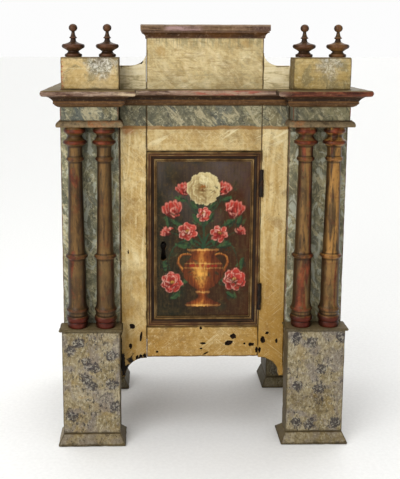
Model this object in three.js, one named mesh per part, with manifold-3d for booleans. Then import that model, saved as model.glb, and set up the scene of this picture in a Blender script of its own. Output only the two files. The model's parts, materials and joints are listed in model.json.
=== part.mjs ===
// An altar tabernacle in painted softwood: a cabinet on four splayed feet, with a locked door between
// paired turned columns, a cornice that breaks forward over them, and a raised crest with finials.
// Millimetres, +Z up. +X is the viewer's right, +Y runs away from the viewer, the floor is at Z = 0,
// and the origin is under the middle of the part.
import * as THREE from "three";
import { mergeVertices } from "three/addons/utils/BufferGeometryUtils.js";
import Module from "manifold-3d";

const wasm = await Module();
wasm.setup();

// Heights, each from what the piece stands on
const FOOT_HEIGHT = 26;
const FOOT_EDGE = 4;
const PEDESTAL_TOP = 262;
const CAP_THICK = 6;
const COLUMN_HEIGHT = 430;
const ARCHITRAVE_HEIGHT = 14;
const FRIEZE_HEIGHT = 23;
const CORNICE_HEIGHT = 39;
const ATTIC_HEIGHT = 66;
const SHOULDER_HEIGHT = 48;
const SHOULDER_RISE = 26;
const CREST_HEIGHT = 119;
const CROWN_COVE_HEIGHT = 15;
const CROWN_BOARD_THICK = 13;
const BRACKET_BOTTOM = 135;
const RAIL_HEIGHT = 70;
const OPENING_BOTTOM = 250;
const OPENING_HEIGHT = 386;
const CHAMBER_HEADROOM = 10;

// Widths, the first two from the centre line
const OPENING_HALF = 122.5;
const FLANK_INNER = 179;
const FLANK_WIDTH = 124;
const CHAMBER_STOP = 21.5;
const CASE_INSET = 5;
const ATTIC_OVERLAP = 2;
const ATTIC_WIDTH = 118;
const COLUMN_INSET = 31;
const COLUMN_SPACING = 60;
const FINIAL_INSET = 22.5;
const FINIAL_SPACING = 69;

// Depths, from the front of the pedestals
const PEDESTAL_DEPTH = 45;
const FRIEZE_FACE = 5;
const COLUMN_DEPTH = 20.5;
const FINIAL_DEPTH = 25;
const FACADE_SET_BACK = 3;
const FACADE_THICK = 20;
const CREST_DEPTH = 185;
const CASE_DEPTH = 321;
const REAR_LEG_DEPTH = 93;

// Boards and fits
const BOARD = 18;
const BACK_BOARD = 12;
const FIT = 0.3;
const EASED = 1;
const CAP_EASED = 2;
const CUT_PAST = 1;

// Overhangs
const FOOT_SPLAY = 11;
const FOOT_BACK_SPLAY = 31;
const CAP_OVERHANG = 6;
const ARCHITRAVE_OVERHANG = 9;
const CORNICE_OVERHANG = 36;
const CROWN_COVE_OVERHANG = 10;
const CROWN_OVERHANG = 12;

// Columns and finials
const COLUMN_RADIUS = 25;
const COLUMN_BASE = 28.5;
const COLUMN_RING = 146.5;
const COLUMN_RING_HEIGHT = 22;
const COLUMN_CAPITAL = 80;
const COLUMN_SIDES = 18;
const FINIAL_RADIUS = 24;
const FINIAL_HEIGHT = 66;
const FINIAL_SIDES = 16;

// Brackets under the stile boards and the shoulders on top of them
const BRACKET_RADIUS = 43;
const BRACKET_TIP = 9;
const SHOULDER_WIDTH = 33;

// Door
const DOOR_PROUD = 2;
const DOOR_THICK = 21.5;
const DOOR_GAP = 1;
const LATCH_GAP = 1.5;
const FRAME_WIDTH = 21;
const FRAME_LIP = 8;
const LIP_THICK = 8;
const PANEL_THICK = 10.5;
const KEYHOLE_TOP = 440;
const KEYHOLE_HEIGHT = 44;
const KEYHOLE_RADIUS = 6.5;
const KEYHOLE_WAIST = 4;

// Lock
const LOCK_CLEARANCE = 4;
const LOCK_MARGIN = 11;
const LOCK_WIDTH = 62;
const LOCK_BELOW = 22;
const LOCK_HEIGHT = 92;
const LOCK_DEPTH = 17;
const LOCK_WALL = 2;
const KEY_PIN_RADIUS = 2.2;
const BOLT_HEIGHT = 14;
const BOLT_THICK = 6;
const BOLT_LENGTH = 46;
const BOLT_TRAVEL = 14;
const BOLT_CLEARANCE = 1.5;
const BOLT_INSET = 7.5;
const BOLT_LIFT = 4;
const BOLT_CHAMFER = 3;
const NOTCH_OFFSET = 12;
const NOTCH_WIDTH = 9;
const NOTCH_DEPTH = 4;

// Hinges
const HINGE_HEIGHT = 58;
const HINGE_INSET = 68;
const KNUCKLE_RADIUS = 4.25;
const PIN_RADIUS = 2;
const PIN_CLEARANCE = 0.1;
const PIN_TIP = 1;
const LEAF_THICK = 1.5;
const LEAF_DEPTH = 20;
const LEAF_ROOT = 1.2;
const HINGE_SIDES = 16;

// Levels above the floor
const DIE_TOP = PEDESTAL_TOP - CAP_THICK;
const ARCHITRAVE_BOTTOM = PEDESTAL_TOP + COLUMN_HEIGHT;
const FRIEZE_BOTTOM = ARCHITRAVE_BOTTOM + ARCHITRAVE_HEIGHT;
const CORNICE_BOTTOM = FRIEZE_BOTTOM + FRIEZE_HEIGHT;
const CORNICE_TOP = CORNICE_BOTTOM + CORNICE_HEIGHT;
const ATTIC_TOP = CORNICE_TOP + ATTIC_HEIGHT;
const CROWN_BOARD_BOTTOM = CORNICE_TOP + CREST_HEIGHT;
const CROWN_TOP = CROWN_BOARD_BOTTOM + CROWN_BOARD_THICK;
const CROWN_BOTTOM = CROWN_BOARD_BOTTOM - CROWN_COVE_HEIGHT;
const OPENING_TOP = OPENING_BOTTOM + OPENING_HEIGHT;
const CEILING_BOTTOM = OPENING_TOP + CHAMBER_HEADROOM;
const CHAMBER_BOTTOM = OPENING_BOTTOM - BOARD;
const CASE_BOTTOM = CHAMBER_BOTTOM - BOARD;

// Places across and in depth
const FLANK_OUTER = FLANK_INNER + FLANK_WIDTH;
const CASE_OUTER = FLANK_OUTER - CASE_INSET;
const FACADE_FACE = PEDESTAL_DEPTH + FACADE_SET_BACK;
const CASE_FRONT = FACADE_FACE + FACADE_THICK;
const CASE_BACK = CASE_FRONT + CASE_DEPTH;
const CREST_BACK = CASE_FRONT + CREST_DEPTH;
const REAR_LEG_FACE = CASE_BACK - REAR_LEG_DEPTH;
const FRONT_MOST = FRIEZE_FACE - CORNICE_OVERHANG;
const DOOR_FACE = FACADE_FACE - DOOR_PROUD;
const DOOR_BACK = DOOR_FACE + DOOR_THICK;
const DOOR_LEFT = -OPENING_HALF + LATCH_GAP;
const DOOR_RIGHT = OPENING_HALF - DOOR_GAP;
const CHAMBER_HALF = OPENING_HALF - CHAMBER_STOP;
const LOCK_LEFT = -CHAMBER_HALF + LOCK_CLEARANCE;
const KEYHOLE_X = LOCK_LEFT + LOCK_MARGIN;
const KEYHOLE_BOTTOM = KEYHOLE_TOP - KEYHOLE_HEIGHT;
const KEYHOLE_HEAD = KEYHOLE_TOP - 1.6 * KEYHOLE_RADIUS;
const PANEL_FACE = DOOR_FACE + LIP_THICK;
const LOCK_FACE = PANEL_FACE + PANEL_THICK + 2 * FIT;
const LOCK_BOTTOM = KEYHOLE_BOTTOM - LOCK_BELOW;
const BOLT_FACE = LOCK_FACE + BOLT_INSET;
const BOLT_BOTTOM = KEYHOLE_TOP + BOLT_LIFT;
const AXIS_X = OPENING_HALF - DOOR_GAP / 2;
const AXIS_Y = DOOR_FACE - DOOR_GAP;

const paint = (color, roughness) =>
  new THREE.MeshStandardMaterial({ color, roughness, metalness: 0 });
const MARBLED = paint(0x8f958a, 0.6);
const SPONGED = paint(0x8b8471, 0.65);
const CREAM = paint(0xc9b27b, 0.6);
const BRONZED = paint(0x5a3a22, 0.45);
const RED_BROWN = paint(0x4d3123, 0.5);
const DARK_FRAME = paint(0x3a2616, 0.45);
const PAINTED_PANEL = paint(0x36321f, 0.5);
const BARE_WOOD = paint(0x8a6a45, 0.8);
const IRON = new THREE.MeshStandardMaterial({ color: 0x2e2a26, roughness: 0.6, metalness: 0.8 });

const degrees = THREE.MathUtils.degToRad;
const corner = (x, y) => new THREE.Vector2(x, y);

function part(name, geometry, material) {
  const mesh = new THREE.Mesh(geometry, material);
  mesh.name = name;
  return mesh;
}

// A box between two corners, with its edges eased.
function board(name, [x0, x1], [y0, y1], [z0, z1], material, eased = EASED) {
  const halfX = (x1 - x0) / 2;
  const halfY = (y1 - y0) / 2;
  const outline = new THREE.Shape();
  outline.moveTo(-halfX, -halfY).lineTo(halfX, -halfY).lineTo(halfX, halfY).lineTo(-halfX, halfY);
  const geometry = new THREE.ExtrudeGeometry(outline, {
    depth: z1 - z0 - 2 * eased,
    bevelEnabled: eased > 0,
    bevelThickness: eased,
    bevelSize: eased,
    bevelOffset: -eased,
    bevelSegments: 1,
  });
  const mesh = part(name, geometry, material);
  mesh.position.set((x0 + x1) / 2, (y0 + y1) / 2, z0 + eased);
  return mesh;
}

// An upright board cut to an outline in x and z, with its face at the given depth.
function cutBoard(name, outline, face, thick, material) {
  const geometry = new THREE.ExtrudeGeometry(outline, {
    depth: thick,
    bevelEnabled: false,
    curveSegments: 10,
  });
  geometry.rotateX(Math.PI / 2);
  const mesh = part(name, geometry, material);
  mesh.position.y = face + thick;
  return mesh;
}

// A turned piece that stands on z = 0: the outline's x is the radius and its y the height.
function turned(name, outline, sides) {
  const geometry = new THREE.LatheGeometry(outline.getPoints(3), sides);
  geometry.rotateX(Math.PI / 2);
  return part(name, geometry, BRONZED);
}

// A half-round ring on a turned outline, from its last point up to the given height.
function bead(outline, reach, top) {
  const { x, y } = outline.currentPoint;
  outline.absellipse(x, (y + top) / 2, reach, (top - y) / 2, -Math.PI / 2, Math.PI / 2);
}

// Closed solids for cutting and joining.
function solidOf(geometry) {
  const plain = geometry.clone();
  plain.deleteAttribute("normal");
  plain.deleteAttribute("uv");
  const merged = mergeVertices(plain, 1e-4);
  return new wasm.Manifold(
    new wasm.Mesh({
      numProp: 3,
      vertProperties: merged.attributes.position.array,
      triVerts: new Uint32Array(merged.index.array),
    }),
  );
}

function geometryOf(solid) {
  const mesh = solid.getMesh();
  const flat = new THREE.BufferGeometry()
    .setAttribute("position", new THREE.BufferAttribute(mesh.vertProperties, 3))
    .setIndex(new THREE.BufferAttribute(mesh.triVerts, 1));
  flat.computeVertexNormals();
  return flat;
}

// Takes the cutters out of a mesh, all of them given in the space that the mesh stands in.
function carve(mesh, cutters) {
  mesh.updateMatrix();
  const body = solidOf(mesh.geometry.clone().applyMatrix4(mesh.matrix));
  const cut = cutters.reduce((left, cutter) => left.subtract(solidOf(cutter)), body);
  return part(mesh.name, geometryOf(cut), mesh.material);
}

function boxBetween([x0, x1], [y0, y1], [z0, z1]) {
  const geometry = new THREE.BoxGeometry(x1 - x0, y1 - y0, z1 - z0);
  return geometry.translate((x0 + x1) / 2, (y0 + y1) / 2, (z0 + z1) / 2);
}

function uprightCylinder(radius, bottom, top, sides) {
  const geometry = new THREE.CylinderGeometry(radius, radius, top - bottom, sides);
  return geometry.rotateX(Math.PI / 2).translate(0, 0, (bottom + top) / 2);
}

// How a moulding's section is turned at one corner of its plan, so that its lengths meet in a mitre.
function mitreAt(corners, index, closed) {
  const count = corners.length;
  const normals = [-1, 0]
    .filter((step) => closed || (index + step >= 0 && index + step < count - 1))
    .map((step) => {
      const start = corners[(index + step + count) % count];
      const end = corners[(index + step + 1 + count) % count];
      const along = end.clone().sub(start).normalize();
      return new THREE.Vector2(along.y, -along.x);
    });
  const last = normals[normals.length - 1];
  return normals[0].clone().add(last).divideScalar(1 + normals[0].dot(last));
}

// Half a fit, from a moulding's end back along its length.
function stepBack(inner, end) {
  return inner.clone().sub(end).setLength(FIT / 2);
}

// One length of moulding, or several joined, along the sides of a plan from one corner to a later one.
// The section's x is how far it stands out to the right of the way walked, and its y is its height.
function moulding(section, corners, from, to, closed = false) {
  const geometry = new THREE.ExtrudeGeometry(section, {
    depth: to - from,
    steps: to - from,
    bevelEnabled: false,
    curveSegments: 5,
  });
  const count = corners.length;
  const places = geometry.attributes.position;
  for (let i = 0; i < places.count; i++) {
    const index = to - Math.round(places.getZ(i));
    const mitre = mitreAt(corners, index % count, closed);
    const point = corners[index % count].clone().addScaledVector(mitre, places.getX(i));
    if (index === from) {
      point.add(stepBack(corners[(from + 1) % count], corners[from % count]));
    }
    if (index === to) {
      point.add(stepBack(corners[(to - 1) % count], corners[to % count]));
    }
    places.setXYZ(i, point.x, point.y, places.getY(i));
  }
  return geometry;
}

// A foot that splays out to the floor, over a short upright edge.
function splayedFoot(name, [x0, x1], [y0, y1], backSplay) {
  const geometry = new THREE.BoxGeometry(1, 1, 1, 1, 1, 2);
  const places = geometry.attributes.position;
  for (let i = 0; i < places.count; i++) {
    const level = Math.round(2 * places.getZ(i));
    const splay = level === 1 ? 0 : FOOT_SPLAY;
    const behind = level === 1 ? 0 : backSplay;
    places.setXYZ(
      i,
      places.getX(i) < 0 ? x0 - splay : x1 + splay,
      places.getY(i) < 0 ? y0 - splay : y1 + behind,
      [0, FOOT_EDGE, FOOT_HEIGHT][level + 1],
    );
  }
  return part(name, geometry, SPONGED);
}

// The columns: a moulded base, a plain lower shaft, a ring, a tapering upper shaft and a spool capital.
// Radii are shares of the widest one, and heights are shares of the base, the ring or the capital.
function columnOutline() {
  const top = COLUMN_HEIGHT - 2 * FIT;
  const out = (share) => share * COLUMN_RADIUS;
  const base = (share) => share * COLUMN_BASE;
  const ring = (share) => COLUMN_RING + share * COLUMN_RING_HEIGHT;
  const capital = (share) => top - COLUMN_CAPITAL + share * COLUMN_CAPITAL;
  const outline = new THREE.Path();
  outline.moveTo(0, 0).lineTo(out(0.86), 0);
  bead(outline, out(0.1), base(0.39));
  outline.lineTo(out(0.82), base(0.44));
  bead(outline, out(0.1), base(0.72));
  outline.lineTo(out(0.8), base(0.77)).lineTo(out(0.88), base(0.88)).lineTo(out(0.88), base(1));
  outline.quadraticCurveTo(out(0.78), base(1.05), out(0.77), base(1.33));
  outline.lineTo(out(0.76), ring(0)).lineTo(out(0.81), ring(0.14));
  bead(outline, out(0.14), ring(0.75));
  outline.lineTo(out(0.71), ring(1)).lineTo(out(0.6), capital(0)).lineTo(out(0.62), capital(0.03));
  bead(outline, out(0.09), capital(0.15));
  outline.lineTo(out(0.54), capital(0.18));
  outline.quadraticCurveTo(out(0.54), capital(0.35), out(0.68), capital(0.45));
  outline.lineTo(out(0.92), capital(0.49));
  outline.quadraticCurveTo(out(1.03), capital(0.53), out(0.9), capital(0.58));
  outline.quadraticCurveTo(out(0.68), capital(0.61), out(0.63), capital(0.71));
  outline.quadraticCurveTo(out(0.7), capital(0.76), out(0.92), capital(0.8));
  outline.quadraticCurveTo(out(1), capital(0.85), out(0.91), capital(0.9));
  outline.lineTo(out(0.88), top).lineTo(0, top);
  return outline;
}

// The finials: a turned foot, a broad disc, a collared neck and a ball.
function finialOutline() {
  const out = (share) => share * FINIAL_RADIUS;
  const up = (share) => share * FINIAL_HEIGHT;
  const outline = new THREE.Path();
  outline.moveTo(0, 0).lineTo(out(0.69), 0).lineTo(out(0.72), up(0.04)).lineTo(out(0.68), up(0.08));
  outline.quadraticCurveTo(out(0.44), up(0.12), out(0.4), up(0.18));
  outline.quadraticCurveTo(out(0.5), up(0.25), out(0.88), up(0.29));
  outline.quadraticCurveTo(out(1.01), up(0.33), out(0.88), up(0.37));
  outline.quadraticCurveTo(out(0.31), up(0.39), out(0.23), up(0.45));
  outline.lineTo(out(0.21), up(0.55)).lineTo(out(0.33), up(0.57)).lineTo(out(0.33), up(0.59));
  outline.quadraticCurveTo(out(0.18), up(0.62), out(0.14), up(0.76));
  outline.absellipse(0, up(0.88), out(0.37), up(0.12), degrees(-65), degrees(90));
  return outline;
}

// The section of the cornice: a sloping bed, a fillet, a cove, a soffit and a rounded nose.
function corniceSection() {
  const out = (share) => share * CORNICE_OVERHANG;
  const up = (share) => CORNICE_BOTTOM + share * CORNICE_HEIGHT;
  const section = new THREE.Shape();
  section.moveTo(FIT, up(0)).lineTo(out(0.04), up(0));
  section.quadraticCurveTo(out(0.24), up(0.08), out(0.32), up(0.24));
  section.lineTo(out(0.36), up(0.24)).lineTo(out(0.36), up(0.34)).lineTo(out(0.33), up(0.37));
  section.quadraticCurveTo(out(0.37), up(0.59), out(0.61), up(0.63));
  section.lineTo(out(0.84), up(0.66));
  section.quadraticCurveTo(out(0.98), up(0.69), out(1), up(0.82));
  section.quadraticCurveTo(out(1), up(0.96), out(0.9), up(1));
  section.lineTo(FIT, up(1));
  return section;
}

// The section of the architrave moulding, a quarter round that swells downwards.
function architraveSection() {
  const out = (share) => share * ARCHITRAVE_OVERHANG;
  const up = (share) => ARCHITRAVE_BOTTOM + share * ARCHITRAVE_HEIGHT;
  const section = new THREE.Shape();
  section.moveTo(FIT, up(0)).lineTo(out(0.75), up(0));
  section.quadraticCurveTo(out(1), up(0.05), out(1), up(0.3));
  section.quadraticCurveTo(out(0.95), up(0.75), out(0.3), up(0.93));
  section.lineTo(out(0.3), up(1)).lineTo(FIT, up(1));
  return section;
}

// The section of the cove under the crown board.
function crownSection() {
  const out = (share) => share * CROWN_COVE_OVERHANG;
  const up = (share) => CROWN_BOTTOM + share * (CROWN_COVE_HEIGHT - FIT);
  const section = new THREE.Shape();
  section.moveTo(FIT, up(0)).lineTo(out(0.2), up(0)).lineTo(out(0.2), up(0.17));
  section.quadraticCurveTo(out(0.3), up(0.7), out(1), up(0.8));
  section.lineTo(out(1), up(1)).lineTo(FIT, up(1));
  return section;
}

// The section of the door's frame: x runs in from the edge of the door and y forward from its back.
// A flat outer band steps down through a cove and a bead to a fillet, with a rebate for the panel behind.
function doorFrameSection() {
  const back = DOOR_THICK - LIP_THICK;
  const across = (share) => share * FRAME_WIDTH;
  const rise = (share) => back + share * LIP_THICK;
  const section = new THREE.Shape();
  section.moveTo(0, 0).lineTo(FRAME_WIDTH - FRAME_LIP, 0).lineTo(FRAME_WIDTH - FRAME_LIP, back);
  section.lineTo(across(1), back).lineTo(across(1), rise(0.25)).lineTo(across(0.88), rise(0.25));
  section.lineTo(across(0.88), rise(0.44));
  section.quadraticCurveTo(across(0.79), rise(0.81), across(0.69), rise(0.5));
  section.lineTo(across(0.62), rise(0.5));
  section.quadraticCurveTo(across(0.48), rise(0.56), across(0.43), rise(0.81));
  section.lineTo(across(0.38), rise(0.81)).lineTo(across(0.38), rise(1));
  section.lineTo(across(0.04), rise(1)).lineTo(0, rise(0.9));
  return section;
}

// The four members of the door's frame, mitred at the corners.
function doorFrame() {
  const bottom = OPENING_BOTTOM + DOOR_GAP;
  const top = OPENING_TOP - DOOR_GAP;
  const corners = [
    corner(DOOR_LEFT, bottom),
    corner(DOOR_LEFT, top),
    corner(DOOR_RIGHT, top),
    corner(DOOR_RIGHT, bottom),
  ];
  const names = ["door_stile_latch", "door_rail_top", "door_stile_hinge", "door_rail_bottom"];
  return names.map((name, side) => {
    const geometry = moulding(doorFrameSection(), corners, side, side + 1, true);
    geometry.rotateX(Math.PI / 2);
    const mesh = part(name, geometry, DARK_FRAME);
    mesh.position.y = DOOR_BACK;
    return name === "door_stile_hinge" ? carve(mesh, hingeRecesses(-1)) : mesh;
  });
}

// The keyhole: a round head over a waist, spreading again at the foot.
function keyholeOutline() {
  const waist = KEYHOLE_HEAD - 1.5 * KEYHOLE_RADIUS;
  const foot = KEYHOLE_BOTTOM + KEYHOLE_WAIST;
  const tip = KEYHOLE_BOTTOM - KEYHOLE_WAIST;
  const outline = new THREE.Path();
  outline.moveTo(KEYHOLE_X - KEYHOLE_WAIST, waist);
  outline.lineTo(KEYHOLE_X - KEYHOLE_RADIUS, foot);
  outline.quadraticCurveTo(KEYHOLE_X, tip, KEYHOLE_X + KEYHOLE_RADIUS, foot);
  outline.lineTo(KEYHOLE_X + KEYHOLE_WAIST, waist);
  outline.absellipse(KEYHOLE_X, KEYHOLE_HEAD, KEYHOLE_RADIUS, KEYHOLE_TOP - KEYHOLE_HEAD, degrees(-50),
    degrees(230));
  return outline;
}

function doorPanel() {
  const inset = FRAME_WIDTH - FRAME_LIP + FIT;
  const x0 = DOOR_LEFT + inset;
  const x1 = DOOR_RIGHT - inset;
  const z0 = OPENING_BOTTOM + DOOR_GAP + inset;
  const z1 = OPENING_TOP - DOOR_GAP - inset;
  const outline = new THREE.Shape();
  outline.moveTo(x0, z0).lineTo(x1, z0).lineTo(x1, z1).lineTo(x0, z1);
  outline.holes.push(keyholeOutline());
  return cutBoard("door_panel", outline, PANEL_FACE + FIT, PANEL_THICK, PAINTED_PANEL);
}

// The box lock on the back of the panel: a case open to the panel, with a pin for the key.
function lockCase() {
  const back = LOCK_FACE + LOCK_DEPTH;
  const right = LOCK_LEFT + LOCK_WIDTH;
  const top = LOCK_BOTTOM + LOCK_HEIGHT;
  const hollow = boxBetween(
    [LOCK_LEFT + LOCK_WALL, right - LOCK_WALL],
    [LOCK_FACE - LOCK_WALL, back - LOCK_WALL],
    [LOCK_BOTTOM + LOCK_WALL, top - LOCK_WALL],
  );
  const boltSlot = boxBetween(
    [LOCK_LEFT - LOCK_WALL, LOCK_LEFT + 2 * LOCK_WALL],
    [BOLT_FACE - FIT, BOLT_FACE + BOLT_THICK + FIT],
    [BOLT_BOTTOM - FIT, BOLT_BOTTOM + BOLT_HEIGHT + FIT],
  );
  const shell = solidOf(boxBetween([LOCK_LEFT, right], [LOCK_FACE, back], [LOCK_BOTTOM, top]))
    .subtract(solidOf(hollow))
    .subtract(solidOf(boltSlot));
  const pinLength = LOCK_DEPTH - 2 * LOCK_WALL;
  const pin = new THREE.CylinderGeometry(KEY_PIN_RADIUS, KEY_PIN_RADIUS, pinLength, HINGE_SIDES);
  pin.translate(KEYHOLE_X, back - LOCK_WALL / 2 - pinLength / 2, KEYHOLE_HEAD);
  return part("lock_case", geometryOf(shell.add(solidOf(pin))), IRON);
}

// The bolt, drawn back flush with the case, with a notch under it for the bit of the key.
function lockBolt() {
  const end = LOCK_LEFT + BOLT_LENGTH;
  const notch = KEYHOLE_X + NOTCH_OFFSET;
  const notchTop = BOLT_BOTTOM + NOTCH_DEPTH;
  const top = BOLT_BOTTOM + BOLT_HEIGHT;
  const outline = new THREE.Shape();
  outline.moveTo(LOCK_LEFT, BOLT_BOTTOM).lineTo(notch, BOLT_BOTTOM).lineTo(notch, notchTop);
  outline.lineTo(notch + NOTCH_WIDTH, notchTop).lineTo(notch + NOTCH_WIDTH, BOLT_BOTTOM);
  outline.lineTo(end, BOLT_BOTTOM).lineTo(end, top - BOLT_CHAMFER).lineTo(end - BOLT_CHAMFER, top);
  outline.lineTo(LOCK_LEFT, top);
  return cutBoard("lock_bolt", outline, BOLT_FACE, BOLT_THICK, IRON);
}

const hingePlaces = [
  { name: "top", middle: OPENING_TOP - HINGE_INSET },
  { name: "bottom", middle: OPENING_BOTTOM + HINGE_INSET },
];

// What is let in for the hinges: a shallow bed for each leaf and a hollow for its knuckles.
// Towards the door is -1 and towards the cabinet is 1.
function hingeRecesses(toward) {
  return hingePlaces.flatMap(({ middle }) => {
    const reach = HINGE_HEIGHT / 2 + FIT;
    const edge = AXIS_X + (toward * DOOR_GAP) / 2;
    const open = edge - toward * CUT_PAST;
    const bed = edge + toward * (LEAF_THICK + FIT);
    const leaf = boxBetween(
      [Math.min(open, bed), Math.max(open, bed)],
      [AXIS_Y, AXIS_Y + LEAF_DEPTH + FIT],
      [middle - reach, middle + reach],
    );
    const hollow = uprightCylinder(KNUCKLE_RADIUS + 2 * FIT, middle - reach, middle + reach, HINGE_SIDES);
    return [leaf, hollow.translate(AXIS_X, AXIS_Y, 0)];
  });
}

// The flat leaf of a hinge, beside its knuckles.
function hingePlate(toward) {
  const inner = (toward * DOOR_GAP) / 2;
  const outer = inner + toward * LEAF_THICK;
  return solidOf(boxBetween(
    [Math.min(inner, outer), Math.max(inner, outer)],
    [KNUCKLE_RADIUS - LEAF_ROOT, LEAF_DEPTH],
    [-HINGE_HEIGHT / 2, HINGE_HEIGHT / 2],
  ));
}

// Lift-off hinges: the lower knuckle, on the cabinet, carries the pin.
function hingeCabinetLeaf() {
  const half = HINGE_HEIGHT / 2;
  const knuckle = solidOf(uprightCylinder(KNUCKLE_RADIUS, -half, -FIT, HINGE_SIDES));
  const pin = solidOf(uprightCylinder(PIN_RADIUS, -half, half - PIN_TIP, HINGE_SIDES));
  const clear = solidOf(uprightCylinder(KNUCKLE_RADIUS + FIT, 0, half + CUT_PAST, HINGE_SIDES));
  return geometryOf(hingePlate(1).subtract(clear).add(knuckle).add(pin));
}

// The upper knuckle, on the door, drops on the pin. Its bore is widened so that its flats clear the pin.
function hingeDoorLeaf() {
  const half = HINGE_HEIGHT / 2;
  const boreRadius = (PIN_RADIUS + PIN_CLEARANCE) / Math.cos(Math.PI / HINGE_SIDES);
  const knuckle = solidOf(uprightCylinder(KNUCKLE_RADIUS, FIT, half, HINGE_SIDES));
  const bore = solidOf(uprightCylinder(boreRadius, -CUT_PAST, half + CUT_PAST, HINGE_SIDES));
  const clear = solidOf(uprightCylinder(KNUCKLE_RADIUS + FIT, -half - CUT_PAST, 0, HINGE_SIDES));
  return geometryOf(hingePlate(-1).subtract(clear).add(knuckle.subtract(bore)));
}

// The hinges' leaves, one pair at each height.
function hinges() {
  return hingePlaces.flatMap(({ name, middle }) => {
    const leaves = [
      part("hinge_cabinet_leaf_" + name, hingeCabinetLeaf(), IRON),
      part("hinge_door_leaf_" + name, hingeDoorLeaf(), IRON),
    ];
    leaves.forEach((leaf) => leaf.position.set(AXIS_X, AXIS_Y, middle));
    return leaves;
  });
}

// Foot, pedestal and cap, in front of the case.
function pedestal(side) {
  const across = [FLANK_INNER, FLANK_OUTER];
  const depth = [0, PEDESTAL_DEPTH - FIT];
  const capAcross = [FLANK_INNER - CAP_OVERHANG, FLANK_OUTER + CAP_OVERHANG];
  const capDepth = [-CAP_OVERHANG, PEDESTAL_DEPTH - FIT];
  return [
    splayedFoot("pedestal_foot_" + side, across, depth, FOOT_BACK_SPLAY),
    board("pedestal_" + side, across, depth, [FOOT_HEIGHT + FIT, DIE_TOP], SPONGED),
    board("pedestal_cap_" + side, capAcross, capDepth, [DIE_TOP + FIT, PEDESTAL_TOP], SPONGED, CAP_EASED),
  ];
}

// A pair of turned pieces at one height, the inner one first.
function turnedPair(kind, side, outline, sides, inset, spacing, depth, bottom) {
  return ["inner", "outer"].map((place, index) => {
    const piece = turned(kind + "_" + place + "_" + side, outline, sides);
    piece.position.set(FLANK_INNER + inset + index * spacing, depth, bottom + FIT);
    return piece;
  });
}

function columns(side) {
  return turnedPair("column", side, columnOutline(), COLUMN_SIDES, COLUMN_INSET, COLUMN_SPACING,
    COLUMN_DEPTH, PEDESTAL_TOP);
}

function finials(side) {
  return turnedPair("finial", side, finialOutline(), FINIAL_SIDES, FINIAL_INSET, FINIAL_SPACING,
    FINIAL_DEPTH, ATTIC_TOP);
}

// The board behind the columns. It narrows above the frieze, where the cornice wraps it.
function pilasterBoard(side) {
  const shoulder = CORNICE_BOTTOM - FIT;
  const outline = new THREE.Shape();
  outline.moveTo(FLANK_INNER, BRACKET_BOTTOM).lineTo(FLANK_OUTER, BRACKET_BOTTOM);
  outline.lineTo(FLANK_OUTER, shoulder).lineTo(CASE_OUTER, shoulder);
  outline.lineTo(CASE_OUTER, CORNICE_TOP).lineTo(FLANK_INNER, CORNICE_TOP);
  const thick = CASE_FRONT - PEDESTAL_DEPTH - FIT;
  return cutBoard("pilaster_board_" + side, outline, PEDESTAL_DEPTH, thick, MARBLED);
}

// The tall board beside the door: a curved bracket at its foot and a hollow shoulder at its head.
function stileBoard(side) {
  const outer = FLANK_INNER - FIT;
  const bracketX = outer - BRACKET_TIP - BRACKET_RADIUS;
  const bracketTop = BRACKET_BOTTOM + BRACKET_RADIUS;
  const shoulderX = OPENING_HALF + SHOULDER_WIDTH;
  const shoulder = CORNICE_TOP + SHOULDER_HEIGHT;
  const outline = new THREE.Shape();
  outline.moveTo(OPENING_HALF, bracketTop).lineTo(bracketX, bracketTop);
  outline.absarc(bracketX, BRACKET_BOTTOM, BRACKET_RADIUS, degrees(90), 0, true);
  outline.lineTo(outer, BRACKET_BOTTOM).lineTo(outer, shoulder).lineTo(shoulderX, shoulder);
  outline.absellipse(shoulderX, shoulder + SHOULDER_RISE, SHOULDER_WIDTH, SHOULDER_RISE, degrees(270),
    degrees(180), true);
  const mesh = cutBoard("stile_board_" + side, outline, FACADE_FACE, FACADE_THICK - FIT, CREAM);
  return side === "right" ? carve(mesh, hingeRecesses(1)) : mesh;
}

// The block over the columns, its moulding, and the cornice that breaks forward round it.
function entablature(side) {
  const block = board("frieze_block_" + side, [FLANK_INNER, CASE_OUTER], [FRIEZE_FACE, PEDESTAL_DEPTH - FIT],
    [ARCHITRAVE_BOTTOM, CORNICE_TOP], MARBLED);
  const underFrieze = [
    corner(FLANK_INNER, FACADE_FACE - FIT),
    corner(FLANK_INNER, FRIEZE_FACE),
    corner(CASE_OUTER, FRIEZE_FACE),
    corner(CASE_OUTER, PEDESTAL_DEPTH - FIT),
  ];
  const cornicePlan = [
    corner(0, FACADE_FACE),
    corner(FLANK_INNER, FACADE_FACE),
    corner(FLANK_INNER, FRIEZE_FACE),
    corner(CASE_OUTER, FRIEZE_FACE),
    corner(CASE_OUTER, CASE_BACK),
  ];
  return [
    block,
    part("architrave_moulding_" + side, moulding(architraveSection(), underFrieze, 0, 3), RED_BROWN),
    part("cornice_front_" + side, moulding(corniceSection(), cornicePlan, 1, 3), RED_BROWN),
    part("cornice_side_" + side, moulding(corniceSection(), cornicePlan, 3, 4), RED_BROWN),
  ];
}

function atticBlock(side) {
  const inner = FLANK_INNER - ATTIC_OVERLAP;
  return board("attic_block_" + side, [inner, inner + ATTIC_WIDTH], [0, FACADE_FACE - FIT],
    [CORNICE_TOP + FIT, ATTIC_TOP], CREAM);
}

function sideWall(side) {
  return board("side_wall_" + side, [CASE_OUTER - BOARD, CASE_OUTER], [CASE_FRONT, CASE_BACK],
    [CASE_BOTTOM, CORNICE_TOP - BOARD - FIT], BARE_WOOD);
}

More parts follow.
